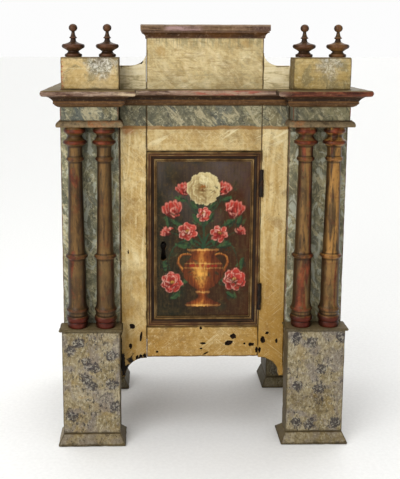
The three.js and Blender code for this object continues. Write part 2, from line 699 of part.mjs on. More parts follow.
function crestSide(side) {
  const outer = OPENING_HALF - FIT;
  return board("crest_side_" + side, [outer - BOARD, outer], [CASE_FRONT, CREST_BACK],
    [CORNICE_TOP + FIT, CROWN_BOARD_BOTTOM - FIT], CREAM);
}

function rearLeg(side) {
  const across = [FLANK_INNER, FLANK_OUTER];
  const depth = [REAR_LEG_FACE, CASE_BACK];
  return [
    splayedFoot("rear_foot_" + side, across, depth, 0),
    board("rear_leg_" + side, across, depth, [FOOT_HEIGHT + FIT, CASE_BOTTOM - FIT], SPONGED),
  ];
}

// One flank of the cabinet, drawn for the right-hand side.
function flank(side) {
  const group = new THREE.Group();
  group.add(
    ...pedestal(side),
    ...columns(side),
    pilasterBoard(side),
    stileBoard(side),
    ...entablature(side),
    atticBlock(side),
    ...finials(side),
    sideWall(side),
    crestSide(side),
    ...rearLeg(side),
  );
  group.scale.x = side === "left" ? -1 : 1;
  return group;
}

// The boards of the front between the flanks, and the length of cornice that crosses them.
function centreFront() {
  const edge = OPENING_HALF - FIT;
  const depth = [FACADE_FACE, CASE_FRONT - FIT];
  const cornicePlan = [
    corner(-FLANK_INNER, FRIEZE_FACE),
    corner(-FLANK_INNER, FACADE_FACE),
    corner(FLANK_INNER, FACADE_FACE),
    corner(FLANK_INNER, FRIEZE_FACE),
  ];
  return [
    board("bottom_rail", [-edge, edge], depth, [OPENING_BOTTOM - RAIL_HEIGHT, OPENING_BOTTOM], CREAM),
    board("head_panel", [-edge, edge], depth, [OPENING_TOP, CROWN_BOARD_BOTTOM - FIT], CREAM),
    part("cornice_centre", moulding(corniceSection(), cornicePlan, 1, 2), RED_BROWN),
  ];
}

// The crown and the back of the crest behind the head panel.
function crown() {
  const edge = OPENING_HALF - FIT;
  const inside = edge - BOARD - FIT;
  const plan = [
    corner(-edge, CREST_BACK),
    corner(-edge, FACADE_FACE),
    corner(edge, FACADE_FACE),
    corner(edge, CREST_BACK),
  ];
  return [
    part("crown_moulding", moulding(crownSection(), plan, 0, 3), RED_BROWN),
    board("crown_board", [-edge - CROWN_OVERHANG, edge + CROWN_OVERHANG],
      [FACADE_FACE - CROWN_OVERHANG, CREST_BACK], [CROWN_BOARD_BOTTOM, CROWN_TOP], RED_BROWN),
    board("crest_back", [-inside, inside], [CREST_BACK - BACK_BOARD, CREST_BACK],
      [CORNICE_TOP + FIT, CROWN_BOARD_BOTTOM - FIT], BARE_WOOD),
  ];
}

// The case: bottom, roof and back between the side walls.
function caseBoards() {
  const inside = CASE_OUTER - BOARD - FIT;
  const inner = CASE_BACK - BACK_BOARD - FIT;
  return [
    board("case_bottom", [-inside, inside], [CASE_FRONT, inner],
      [CASE_BOTTOM, CHAMBER_BOTTOM - FIT], BARE_WOOD),
    board("back_board", [-inside, inside], [CASE_BACK - BACK_BOARD, CASE_BACK],
      [CASE_BOTTOM, CORNICE_TOP - BOARD - FIT], BARE_WOOD),
    board("roof_board", [-CASE_OUTER, CASE_OUTER], [CASE_FRONT, CASE_BACK],
      [CORNICE_TOP - BOARD, CORNICE_TOP], RED_BROWN, 0),
  ];
}

// The chamber behind the door: its sides stand on the case's bottom, with the floor between them.
function chamber() {
  const depth = [CASE_FRONT, CASE_BACK - BACK_BOARD - FIT];
  const across = [-CHAMBER_HALF + FIT, CHAMBER_HALF - FIT];
  const height = [CHAMBER_BOTTOM, CORNICE_TOP - BOARD - FIT];
  const left = [-CHAMBER_HALF - BOARD, -CHAMBER_HALF];
  const right = [CHAMBER_HALF, CHAMBER_HALF + BOARD];
  return [
    board("chamber_floor", across, depth, [CHAMBER_BOTTOM, OPENING_BOTTOM], BARE_WOOD),
    board("chamber_ceiling", across, depth, [CEILING_BOTTOM, CEILING_BOTTOM + BOARD], BARE_WOOD),
    carve(board("chamber_side_left", left, depth, height, BARE_WOOD, 0), [boltMortise()]),
    board("chamber_side_right", right, depth, height, BARE_WOOD, 0),
  ];
}

// The pocket that the bolt shoots into.
function boltMortise() {
  return boxBetween(
    [LOCK_LEFT - BOLT_TRAVEL - BOLT_CLEARANCE, -CHAMBER_HALF + CUT_PAST],
    [BOLT_FACE - BOLT_CLEARANCE, BOLT_FACE + BOLT_THICK + BOLT_CLEARANCE],
    [BOLT_BOTTOM - BOLT_CLEARANCE, BOLT_BOTTOM + BOLT_HEIGHT + BOLT_CLEARANCE],
  );
}

const tabernacle = new THREE.Group();
tabernacle.name = "altar_tabernacle";
tabernacle.add(flank("left"), flank("right"), ...centreFront(), ...crown(), ...caseBoards(), ...chamber());
tabernacle.add(...doorFrame(), doorPanel(), lockCase(), lockBolt(), ...hinges());
tabernacle.position.y = -(FRONT_MOST + CASE_BACK) / 2;

export default tabernacle;
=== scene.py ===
"""The looks of an altar tabernacle in painted softwood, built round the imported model.

Metres, +Z up, +X to the viewer's right and +Y away from the viewer, as in the frame.
"""

import json
import math
import random

import bmesh
import bpy
import numpy as np
from mathutils import Matrix, Vector, noise


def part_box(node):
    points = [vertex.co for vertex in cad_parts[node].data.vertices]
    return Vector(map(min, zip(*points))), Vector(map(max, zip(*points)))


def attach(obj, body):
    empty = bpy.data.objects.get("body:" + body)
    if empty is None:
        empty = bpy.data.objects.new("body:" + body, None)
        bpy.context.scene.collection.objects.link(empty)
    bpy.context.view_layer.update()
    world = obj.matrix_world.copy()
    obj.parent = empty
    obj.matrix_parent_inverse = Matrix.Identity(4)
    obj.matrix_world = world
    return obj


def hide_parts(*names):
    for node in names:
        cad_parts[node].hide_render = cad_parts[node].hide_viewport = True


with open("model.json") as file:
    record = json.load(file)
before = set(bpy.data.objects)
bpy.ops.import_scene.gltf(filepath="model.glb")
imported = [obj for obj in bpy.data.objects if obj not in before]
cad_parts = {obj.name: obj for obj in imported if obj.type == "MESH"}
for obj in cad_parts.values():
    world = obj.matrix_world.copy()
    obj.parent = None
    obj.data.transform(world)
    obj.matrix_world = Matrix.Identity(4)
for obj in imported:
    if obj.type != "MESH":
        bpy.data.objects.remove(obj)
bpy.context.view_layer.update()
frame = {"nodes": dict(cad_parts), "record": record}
SCENE = bpy.context.scene

MM = 0.001
SIDES = ("left", "right")
SIGN = {"left": -1, "right": 1}
PLACES = ("inner", "outer")
SLOT = {piece["node"]: piece["material_slot"] for piece in frame["record"]["subparts"]}
BODY = {
    node: body
    for body, nodes in frame["record"]["behaviour"]["bodies"].items()
    for node in nodes
}

# Planes and edges that several pieces share, from the frame
LOW_BLOCK, HIGH_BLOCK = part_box("frieze_block_right")
LOW_CASE, HIGH_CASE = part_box("side_wall_right")
FLANK_INNER, FRIEZE_FACE = LOW_BLOCK.xy
CASE_OUTER = HIGH_BLOCK.x
CASE_BACK = HIGH_CASE.y
FACADE_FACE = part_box("stile_board_right")[0].y
CREST_HALF, CREST_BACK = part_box("crest_side_right")[1].xy
FIT = 0.3 * MM


# Outlines

class Outline:
    """A chain of points in a plane, drawn with lines and curves."""

    def __init__(self, x, y):
        self.points = [(x, y)]

    def line(self, x, y):
        self.points.append((x, y))
        return self

    def curve(self, control_x, control_y, x, y, steps=8):
        start_x, start_y = self.points[-1]
        for step in range(1, steps + 1):
            t = step / steps
            a, b, c = (1 - t) ** 2, 2 * t * (1 - t), t * t
            self.points.append((a * start_x + b * control_x + c * x, a * start_y + b * control_y + c * y))
        return self

    def arc(self, centre_x, centre_y, radius_x, radius_y, start, end, steps=14):
        for step in range(steps + 1):
            angle = math.radians(start + (end - start) * step / steps)
            self.points.append((centre_x + radius_x * math.cos(angle), centre_y + radius_y * math.sin(angle)))
        return self

    def bead(self, reach, top):
        """A half-round ring, from the last point up to the given height."""
        x, y = self.points[-1]
        return self.arc(x, (y + top) / 2, reach, (top - y) / 2, -90, 90, 10)

    def trace(self, width, low, height, *steps):
        """Lines of two numbers and curves of four, in shares of a width and of a height above a level."""
        for step in steps:
            values = [share * height + low if k % 2 else share * width for k, share in enumerate(step)]
            draw = self.line if len(step) == 2 else self.curve
            draw(*values)
        return self

    def fine(self, step, closed=False):
        """The points with each long stretch divided, and each point only once."""
        ends = self.points + self.points[:1] if closed else self.points
        found = []
        for start, end in zip(ends, ends[1:]):
            length = math.dist(start, end)
            if length < 1e-6:
                continue
            count = max(1, round(length / step))
            found += [
                (start[0] + (end[0] - start[0]) * k / count, start[1] + (end[1] - start[1]) * k / count)
                for k in range(count)
            ]
        return found if closed else found + [ends[-1]]


def prominence(points, reach, depth):
    """How far each point of an outline stands out of its neighbours, from 0 in a hollow to 1 on a ridge.
    The outline has its outside on the right of the way that it runs."""
    at = np.array(points)
    along = np.concatenate([[0], np.cumsum(np.linalg.norm(np.diff(at, axis=0), axis=1))])

    def beside(shift):
        where = np.clip(along + shift, 0, along[-1])
        return np.stack([np.interp(where, along, at[:, axis]) for axis in (0, 1)], 1)

    before, after = beside(-reach), beside(reach)
    way = after - before
    way /= np.maximum(np.linalg.norm(way, axis=1, keepdims=True), 1e-9)
    outward = np.stack([way[:, 1], -way[:, 0]], 1)
    rise = ((at - (before + after) / 2) * outward).sum(1)
    return np.clip(rise / depth, -1, 1) * 0.5 + 0.5


# Pieces

def turbulence(place, scale, seed, octaves=3):
    """Smooth noise of about -1 to 1 at a place, whose waves are about scale long."""
    at = Vector((place[0] / scale + seed, place[1] / scale - seed, place[2] / scale + 2 * seed))
    return noise.fractal(at, 1.0, 2.0, octaves)


def add_object(name, data):
    made = bpy.data.objects.new(name, data)
    SCENE.collection.objects.link(made)
    return made


def as_piece(name, bm, material, node=None, slot=None, body=None, sharp=35, **attributes):
    """A finished piece made of a bmesh. It rides with the node that it replaces."""
    bm.normal_update()
    for edge in bm.edges:
        edge.smooth = edge.calc_face_angle(0) < math.radians(sharp)
    for face in bm.faces:
        face.smooth = True
    mesh = bpy.data.meshes.new(name)
    bm.to_mesh(mesh)
    bm.free()
    for key, values in attributes.items():
        layer = mesh.attributes.new(key, "FLOAT", "POINT")
        layer.data.foreach_set("value", np.asarray(values, np.float32))
    mesh.materials.append(material)
    piece = add_object(name, mesh)
    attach(piece, body or BODY[node])
    if node:
        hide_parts(node)
    return piece


def skin(bm, rings):
    """Faces between each ring of vertices and the next, and over both ends."""
    for lower, upper in zip(rings, rings[1:]):
        for i in range(len(lower)):
            j = (i + 1) % len(lower)
            bm.faces.new((lower[i], lower[j], upper[j], upper[i]))
    bm.faces.new(reversed(rings[0]))
    bm.faces.new(rings[-1])


# Boards

EDGE_EASE = 1.3 * MM
EDGE_WEAR = 7 * MM
EDGE_RING = 2.4 * EDGE_EASE
BOARD_WAVE = 0.25 * MM
FLAT_ANGLE = math.radians(1)
SHARP_ANGLE = math.radians(25)
BEVEL_ANGLE = math.radians(60)
CELL = 9 * MM


def sharp_lines(bm):
    """The ends of every edge where two faces meet at an angle."""
    kept = [edge for edge in bm.edges if edge.calc_face_angle(math.pi) > SHARP_ANGLE]
    return np.array([[vertex.co[:] for vertex in edge.verts] for edge in kept])


def distance_to_lines(places, lines):
    """How far each place is from the nearest of some straight lines."""
    nearest = np.full(len(places), np.inf)
    for start, end in lines:
        way = end - start
        share = np.clip((places - start) @ way / max(way @ way, 1e-12), 0, 1)
        nearest = np.minimum(nearest, np.linalg.norm(places - start - share[:, None] * way, axis=1))
    return nearest


def slice_up(bm, low, high):
    """Cuts all faces along the planes of a grid, with one more plane close inside each end."""
    for axis in range(3):
        length = high[axis] - low[axis]
        normal = [0, 0, 0]
        normal[axis] = 1
        count = round(length / CELL)
        levels = [low[axis] + length * k / count for k in range(1, count)]
        if length > 4 * EDGE_EASE:
            levels += [low[axis] + EDGE_RING, high[axis] - EDGE_RING]
        for level in levels:
            place = [0, 0, 0]
            place[axis] = level
            everything = bm.verts[:] + bm.edges[:] + bm.faces[:]
            bmesh.ops.bisect_plane(bm, geom=everything, plane_co=place, plane_no=normal, dist=1e-6)


def worn_board(node, material, seed, nick=1.0 * MM, ease=EDGE_EASE):
    """A hand-planed board in place of a node, with eased and nicked edges, inside the node's shape."""
    bm = bmesh.new()
    bm.from_mesh(frame["nodes"][node].data)
    bmesh.ops.remove_doubles(bm, verts=bm.verts[:], dist=1e-5)
    bmesh.ops.dissolve_limit(bm, angle_limit=FLAT_ANGLE, verts=bm.verts[:], edges=bm.edges[:])
    lines = sharp_lines(bm)
    edges = [edge for edge in bm.edges if edge.calc_face_angle(0) > BEVEL_ANGLE]
    bmesh.ops.bevel(bm, geom=edges, offset=ease, segments=2, profile=0.5, affect="EDGES", clamp_overlap=True)
    low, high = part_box(node)
    slice_up(bm, low, high)
    bm.normal_update()
    places = np.array([vertex.co[:] for vertex in bm.verts])
    away = distance_to_lines(places, lines)
    near = np.clip(1 - away / EDGE_WEAR, 0, 1)
    for vertex, closeness in zip(bm.verts, near):
        dip = BOARD_WAVE * (0.5 + 0.5 * turbulence(vertex.co, 0.07, seed))
        bite = turbulence(vertex.co, 0.022, seed + 3.7, 4) - 0.12
        dip += nick * closeness ** 2 * max(0.0, min(1.0, bite * 1.6))
        vertex.co -= vertex.normal * dip
    return as_piece(node + "_worn", bm, material, node, worn=near)


# Turned pieces

def turned(node, outline, material, seed, sides=72):
    """A turned piece in place of a node, with its outline in radius and height."""
    low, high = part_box(node)
    middle = (low + high) / 2
    points = outline.fine(5 * MM)
    ridge = prominence(points, 3.5 * MM, 1.0 * MM)
    bm = bmesh.new()
    rings, ridges = [], []
    for (radius, height), share in zip(points, ridge):
        if radius < 1e-5:
            continue
        ring = []
        for k in range(sides):
            angle = 2 * math.pi * k / sides
            out = Vector((math.cos(angle), math.sin(angle), 0))
            at = Vector((middle.x, middle.y, low.z + height)) + out * radius
            dent = 0.35 * MM * max(0.0, turbulence(at, 0.02, seed)) * (0.4 + share)
            ring.append(bm.verts.new(at - out * dent))
        rings.append(ring)
        ridges += [share] * sides
    skin(bm, rings)
    return as_piece(node + "_turned", bm, material, node, sharp=50, worn=ridges)


COLUMN_HEIGHT = 429.4 * MM
COLUMN_RADIUS = 25 * MM
COLUMN_BASE = 42 * MM
COLUMN_RING = 146.5 * MM
COLUMN_RING_HEIGHT = 22 * MM
COLUMN_CAPITAL = 80 * MM
FINIAL_RADIUS = 24 * MM
FINIAL_HEIGHT = 66 * MM


def column_outline():
    """A base of a torus under a lip, a lower shaft, a ring, a tapering upper shaft and a spool capital."""
    base = (COLUMN_RADIUS, 0, COLUMN_BASE)
    ring = (COLUMN_RADIUS, COLUMN_RING, COLUMN_RING_HEIGHT)
    capital = (COLUMN_RADIUS, COLUMN_HEIGHT - COLUMN_CAPITAL, COLUMN_CAPITAL)
    outline = Outline(0.82 * COLUMN_RADIUS, 0).bead(0.05 * COLUMN_RADIUS, 0.29 * COLUMN_BASE)
    outline.trace(*base, (0.82, 0.31)).bead(0.15 * COLUMN_RADIUS, 0.62 * COLUMN_BASE)
    outline.trace(*base, (0.84, 0.64), (0.85, 0.82), (0.96, 0.92), (0.96, 0.96), (0.8, 1.04, 0.77, 1.3))
    outline.trace(*ring, (0.75, 0.05), (0.79, 0.2), (0.9, 0.3), (0.99, 0.42, 0.88, 0.54), (0.75, 0.66), (0.7, 1))
    return outline.trace(
        *capital, (0.58, 0.09), (0.64, 0.11), (0.73, 0.14), (0.79, 0.17, 0.71, 0.2), (0.63, 0.23),
        (0.57, 0.34, 0.64, 0.49), (0.74, 0.54, 0.97, 0.57), (1.03, 0.6, 0.95, 0.64), (0.68, 0.68, 0.61, 0.77),
        (0.66, 0.82, 0.88, 0.86), (0.97, 0.9, 0.86, 0.95), (0.8, 1),
    )


def finial_outline():
    """A turned foot, a broad disc, a collared neck and a ball."""
    outline = Outline(0.69 * FINIAL_RADIUS, 0).trace(
        FINIAL_RADIUS, 0, FINIAL_HEIGHT, (0.74, 0.03), (0.72, 0.085), (0.5, 0.11, 0.46, 0.17),
        (0.62, 0.22, 0.9, 0.27), (1.06, 0.33, 0.9, 0.385), (0.42, 0.42, 0.27, 0.47), (0.21, 0.55), (0.33, 0.57),
        (0.33, 0.59), (0.18, 0.62, 0.14, 0.76),
    )
    return outline.arc(0, 0.88 * FINIAL_HEIGHT, 0.37 * FINIAL_RADIUS, 0.12 * FINIAL_HEIGHT, -65, 88)


# Mouldings

MOULDING_STEP = 6 * MM


def mitre_at(corners, index, closed):
    """How far a section moves in plan at a corner for each unit that it stands out."""
    count = len(corners)
    normals = []
    for step in (-1, 0):
        first = index + step
        if not closed and not 0 <= first < count - 1:
            continue
        way = (corners[(first + 1) % count] - corners[first % count]).normalized()
        normals.append(Vector((way.y, -way.x)))
    total = normals[0] + normals[-1]
    return total / (1 + normals[0].dot(normals[-1]))


def moulding(node, section, corners, lengths, material, place, seed, closed=False, detail=1.2 * MM, wear=0.9 * MM):
    """Mitred lengths of moulding along a plan, in place of a node. The section's x stands out to the right of
    the way walked. place turns a point of the plan and a height into a point of the model."""
    points = section.fine(detail, True)
    ridge = prominence(points, 2.5 * MM, 0.8 * MM)
    count = len(corners)
    centre = sum((Vector(point) for point in points), Vector((0, 0))) / len(points)
    bm = bmesh.new()
    rings, ridges, profiles = [], [], []
    for length in lengths:
        start, end = corners[length % count], corners[(length + 1) % count]
        start_mitre = mitre_at(corners, length, closed)
        end_mitre = mitre_at(corners, length + 1, closed)
        trim = (end - start).normalized() * (FIT / 2)
        steps = max(2, round((end - start).length / MOULDING_STEP))
        for k in range(1 if rings else 0, steps + 1):
            share = k / steps
            inset = trim if length == lengths[0] and k == 0 else Vector((0, 0))
            inset = -trim if length == lengths[-1] and k == steps else inset
            ring = []
            for index, (out, up) in enumerate(points):
                ground = (start + start_mitre * out).lerp(end + end_mitre * out, share) + inset
                at = Vector(place(ground, up))
                bite = turbulence(at, 0.03, seed) + 0.6 * turbulence(at, 0.009, seed + 5)
                dip = wear * max(0.0, ridge[index] - 0.45) * max(0.0, min(1.0, bite + 0.15))
                shrunk = Vector((out, up)).lerp(centre, min(0.3, dip / 12 / MM))
                moved = (start + start_mitre * shrunk.x).lerp(end + end_mitre * shrunk.x, share) + inset
                ring.append(bm.verts.new(place(moved, shrunk.y)))
            rings.append(ring)
            ridges += list(ridge)
            profiles += [index / len(points) for index in range(len(points))]
    skin(bm, rings)
    bmesh.ops.recalc_face_normals(bm, faces=bm.faces[:])
    as_piece(node + "_run", bm, material, node, sharp=32, worn=ridges, profile=profiles)


def upright(ground, height):
    return (ground.x, ground.y, height)


def mirrored(ground, height):
    return (-ground.x, ground.y, height)


STAND = {"left": mirrored, "right": upright}


def hung_section(node, face, lift, *steps):
    """A section from a face out to the front of a node's box, in shares of that overhang and of the height."""
    low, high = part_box(node)
    bottom = low.z + lift
    return Outline(FIT, bottom).trace(face - low.y, bottom, high.z - bottom, *steps).line(FIT, high.z)


def cornice_section():
    """A sloping bed, a fillet, a cove, a soffit and a rounded nose."""
    return hung_section(
        "cornice_centre", FACADE_FACE, 4 * MM, (0.04, 0), (0.24, 0.06, 0.32, 0.2), (0.36, 0.2), (0.36, 0.3),
        (0.34, 0.33), (0.44, 0.54, 0.64, 0.63), (0.87, 0.66), (0.98, 0.69, 1, 0.83), (0.99, 0.95, 0.92, 1),
    )


def architrave_section():
    """A quarter round that swells downwards."""
    steps = (0.75, 0), (1, 0.05, 1, 0.3), (0.95, 0.75, 0.3, 0.93), (0.3, 1)
    return hung_section("architrave_moulding_right", FRIEZE_FACE, 0, *steps)


def crown_section():
    """A cove under the crown board."""
    return hung_section("crown_moulding", FACADE_FACE, 0, (0.2, 0), (0.2, 0.17), (0.3, 0.7, 1, 0.8), (1, 1))


DOOR_THICK = 21.5 * MM
LIP_THICK = 8 * MM
FRAME_WIDTH = 21 * MM
FRAME_LIP = 8 * MM


def door_frame_section():
    """A flat outer band that steps down through a cove and a bead to a fillet, with a rebate behind."""
    back = DOOR_THICK - LIP_THICK
    rebate = FRAME_WIDTH - FRAME_LIP
    return Outline(0, 0).line(rebate, 0).line(rebate, back).trace(
        FRAME_WIDTH, back, LIP_THICK, (1, 0), (1, 0.25), (0.88, 0.25), (0.88, 0.44), (0.79, 0.81, 0.69, 0.5),
        (0.62, 0.5), (0.48, 0.56, 0.43, 0.81), (0.38, 0.81), (0.38, 1), (0.04, 1), (0, 0.9),
    )


# Materials

def rgb(code):
    """A colour of the screen, such as c4a873, as the linear colour that the shader takes."""
    shares = [int(code[k : k + 2], 16) / 255 for k in (0, 2, 4)]
    return tuple(((s + 0.055) / 1.055) ** 2.4 if s > 0.04045 else s / 12.92 for s in shares) + (1.0,)


class Field:
    """A value that nodes work out, for use in plain arithmetic."""

    def __init__(self, nodes, socket):
        self.nodes = nodes
        self.socket = socket

    def __add__(self, other):
        return self.nodes.math("ADD", self, other)

    def __sub__(self, other):
        return self.nodes.math("SUBTRACT", self, other)

    def __rsub__(self, other):
        return self.nodes.math("SUBTRACT", other, self)

    def __mul__(self, other):
        return self.nodes.math("MULTIPLY", self, other)

    def __abs__(self):
        return self.nodes.math("ABSOLUTE", self)


class Nodes:
    """A node tree, written as expressions."""

    def __init__(self, tree):
        self.tree = tree

    def node(self, kind, sockets=(), **settings):
        made = self.tree.nodes.new(kind)
        for key, value in settings.items():
            setattr(made, key, value)
        for socket, value in dict(sockets).items():
            self.feed(made.inputs[socket], value)
        return made

    def feed(self, socket, value):
        value = value.socket if isinstance(value, Field) else value
        if isinstance(value, bpy.types.NodeSocket):
            self.tree.links.new(value, socket)
        else:
            socket.default_value = value

    def field(self, kind, sockets, output=0, **settings):
        return Field(self, self.node(kind, sockets, **settings).outputs[output])

    def math(self, operation, a, b=0.0):
        return self.field("ShaderNodeMath", {0: a, 1: b}, operation=operation)

    def between(self, value, low, high, to_low=0.0, to_high=1.0):
        """A smooth step from one level to another, as the value goes from low to high."""
        sockets = {0: value, 1: low, 2: high, 3: to_low, 4: to_high}
        return self.field("ShaderNodeMapRange", sockets, interpolation_type="SMOOTHSTEP")

    def window(self, value, rise, full, drop, end):
        """1 between two smooth steps, which start and end at the levels given, and 0 outside them."""
        return self.between(value, rise, full) * self.between(value, end, drop)


class Paint(Nodes):
    """A material's nodes. Its colour is built up in layers."""

    def __init__(self, name):
        self.material = bpy.data.materials.new(name)
        self.material.use_nodes = True
        super().__init__(self.material.node_tree)
        self.colour = None
        self.place = self.node("ShaderNodeTexCoord").outputs["Object"]
        split = self.node("ShaderNodeSeparateXYZ", {0: self.place})
        self.x = Field(self, split.outputs["X"])
        self.z = Field(self, split.outputs["Z"])
        self.set_shader({"Specular IOR Level": 0.15})

    def set_shader(self, values):
        shader = self.tree.nodes["Principled BSDF"]
        for socket, value in values.items():
            self.feed(shader.inputs[socket], value)

    def scaled(self, x, y, z, shift=0.0, at=None):
        """Coordinates stretched by axis."""
        sockets = {"Vector": at or self.place, "Scale": (x, y, z), "Location": (shift, shift, shift)}
        return self.node("ShaderNodeMapping", sockets).outputs["Vector"]

    def tilted(self, degrees):
        """Coordinates turned about the axis that runs into the front."""
        sockets = {"Vector": self.place, "Rotation": (0, math.radians(degrees), 0)}
        return self.node("ShaderNodeMapping", sockets).outputs["Vector"]

    def noise(self, scale, detail=3.0, rough=0.55, twist=0.0, at=None, seed=0.0):
        at = at or self.scaled(1, 1, 1, seed)
        sockets = {"Vector": at, "Scale": scale, "Detail": detail, "Roughness": rough, "Distortion": twist}
        return self.field("ShaderNodeTexNoise", sockets, "Fac")

    def patches(self, low, high, *noise, **more):
        """Where a noise is high, with edges as soft as the two levels are apart."""
        return self.between(self.noise(*noise, **more), low, high)

    def crazing(self, scale):
        """How far each point is from the nearest border between random cells."""
        sockets = {"Vector": self.place, "Scale": scale}
        return self.field("ShaderNodeTexVoronoi", sockets, "Distance", feature="DISTANCE_TO_EDGE")

    def lines(self, scale, width, twist, detail, seed):
        """Thin winding lines: 1 on them and 0 elsewhere."""
        field = self.noise(scale, detail, 0.5, twist, seed=seed)
        return self.between(abs(field - 0.5), width, width * 0.3)

    def mix(self, share, a, b, blend="MIX"):
        """A blend of two colours. The second may be a code."""
        sockets = {0: share, 6: a, 7: rgb(b) if isinstance(b, str) else b}
        return self.node("ShaderNodeMix", sockets, data_type="RGBA", blend_type=blend).outputs[2]

    def lay(self, tint, share, blend="MIX"):
        """Lays a colour over the colour so far."""
        self.colour = self.mix(share, self.colour, tint, blend)

    def tints(self, value, *layers):
        """Lays colours, each from one level of a value to another, where its share is full."""
        for tint, low, high, share in layers:
            self.lay(tint, self.between(value, low, high, 0.0, share))

    def ramp(self, value, stops):
        """A colour ramp, from pairs of a level and a colour code."""
        made = self.node("ShaderNodeValToRGB", {0: value})
        band = made.color_ramp
        while len(band.elements) < len(stops):
            band.elements.new(0.5)
        for element, (level, code) in zip(band.elements, stops):
            element.position = level
            element.color = rgb(code)
        return made.outputs[0]

    def attribute(self, name, output="Fac"):
        return self.field("ShaderNodeAttribute", (), output, attribute_name=name)

    def facing(self, axis):
        """The part of the surface's own normal along an axis."""
        normal = self.node("ShaderNodeTexCoord").outputs["Normal"]
        return self.field("ShaderNodeSeparateXYZ", {0: normal}, axis)

    def finish(self, value, smooth, rough, height, bump, depth=0.5 * MM, metal=0.0, ends=(0.3, 0.7)):
        """Sends the colour, the roughness, which follows a value between its ends, and the relief to the shader."""
        relief = self.node("ShaderNodeBump", {"Height": height, "Strength": bump, "Distance": depth})
        roughness = self.between(value, *ends, smooth, rough)
        self.set_shader({"Base Color": self.colour, "Roughness": roughness, "Metallic": metal})
        self.set_shader({"Normal": relief.outputs[0]})
        return self.material


def worn_away(p, amount, scale=45):
    """Where paint has rubbed off near edges and on ridges."""
    ragged = p.attribute("worn") + p.noise(scale, 5, 0.65, seed=7) * 0.9
    return p.between(ragged, 1.5 - amount, 1.62 - amount)


def grain(p, along, fine, coarse):
    """Fine streaks along the boards: the letter is the axis that the grain runs along."""
    scale = {"x": (coarse, fine, fine), "y": (fine, coarse, fine), "z": (fine, fine, coarse)}[along]
    return p.noise(1, 4, 0.6, 0.3, p.scaled(*scale))


def spot(p, x, z, radius, ragged=0.8):
    """A ragged patch about a place on the front, given in millimetres."""
    sockets = {0: p.scaled(1, 0, 1), 1: (x * MM, 0, z * MM)}
    gap = p.field("ShaderNodeVectorMath", sockets, "Value", operation="DISTANCE")
    edge = p.noise(55, 5, 0.65, 0.4, seed=x / 40) * (radius * ragged * MM)
    return p.between(gap + edge, radius * (1 + 0.5 * ragged) * MM, radius * (0.35 + 0.5 * ragged) * MM)


def slanted_scratches(p, degrees, seed):
    """Short, fine scratches at a slant, in patches."""
    at = p.scaled(9, 330, 330, seed, p.tilted(degrees))
    fine = p.patches(0.6, 0.68, 1, 2, 0.5, 0.3, at)
    return fine * p.patches(0.45, 0.6, 15, 2, seed=seed)


def marbling(p, seed=0, dark=0):
    """Blue-grey and green clouds with cream feather strokes and dark dabs, laid on at a slant."""
    warp = p.node("ShaderNodeTexNoise", {"Vector": p.scaled(1, 1, 1, seed), "Scale": 14, "Detail": 2})
    moved = p.node("ShaderNodeVectorMath", {0: warp.outputs["Color"], 1: (0.05, 0.05, 0.05)}, operation="MULTIPLY")
    slant = p.scaled(1, 1, 0.5, seed, p.tilted(24))
    at = p.node("ShaderNodeVectorMath", {0: slant, 1: moved.outputs[0]}, operation="ADD").outputs[0]
    clouds = p.noise(34, 6, 0.7, 0.6, at)
    p.colour = p.ramp(clouds, [(0.3, "3b3d33"), (0.41, "5b5b48"), (0.5, "777258"), (0.58, "8e8763"), (0.7, "aca37c")])
    ochre = p.patches(0.53, 0.66, 21, 3, 0.5, 0.6, at, 1)
    p.lay("8a7a4b", ochre * 0.5)
    slate = p.patches(0.53, 0.62, 24, 4, 0.6, 0.8, at, 14)
    p.lay("5b6465", slate * 0.55)
    dabs = p.patches(0.55, 0.62, 58, 4, 0.65, 1, p.scaled(1, 1, 0.5, seed + 3, p.tilted(20)))
    p.lay("2f302b", dabs * 0.8)
    stroke = p.scaled(44, 30, 13, seed + 8, p.tilted(38))
    feather = p.patches(0.55, 0.61, 1, 4, 0.65, 1.4, stroke)
    p.lay("c3b68e", feather * 0.85)
    veins = p.lines(26, 0.02, 1.4, 4, seed + 2) * p.between(clouds, 0.44, 0.54)
    p.lay("d0c7a4", veins * 0.7)
    p.lay("4a4c45", dark)
    return clouds, feather


def flecked(p, dark, light, strength=0.5):
    """Small uneven flecks of a darker and a lighter colour, as old brushed paint has."""
    fleck = p.noise(150, 6, 0.8, 0.5, seed=20)
    p.tints(fleck, (dark, 0.49, 0.36, strength), (light, 0.53, 0.66, strength))


def aged(p, grime, dark, light, strength):
    """Brown grime in soft patches, a few small dark specks, and flecks."""
    p.lay("7a5a30", p.patches(0.52, 0.74, 16, 6, 0.62, 0.3, seed=11) * grime, "MULTIPLY")
    p.lay("3a2614", p.patches(0.68, 0.74, 240, 2, 0.6, seed=5) * 0.6)
    flecked(p, dark, light, strength)


def inner_faces(p, low=-0.5, high=-0.9):
    """The faces that look to the middle of the object."""
    return p.between(p.math("SIGN", p.x) * p.facing("X"), low, high)


def board_streaks(p, along):
    """Brush streaks along a board. The panel over the door has them upright above and level below."""
    if along != "both":
        return grain(p, along, 230, 9)
    high = p.between(p.z, 0.815, 0.845)
    low = 1 - high
    return grain(p, "z", 230, 26) * high + grain(p, "x", 260, 9) * low


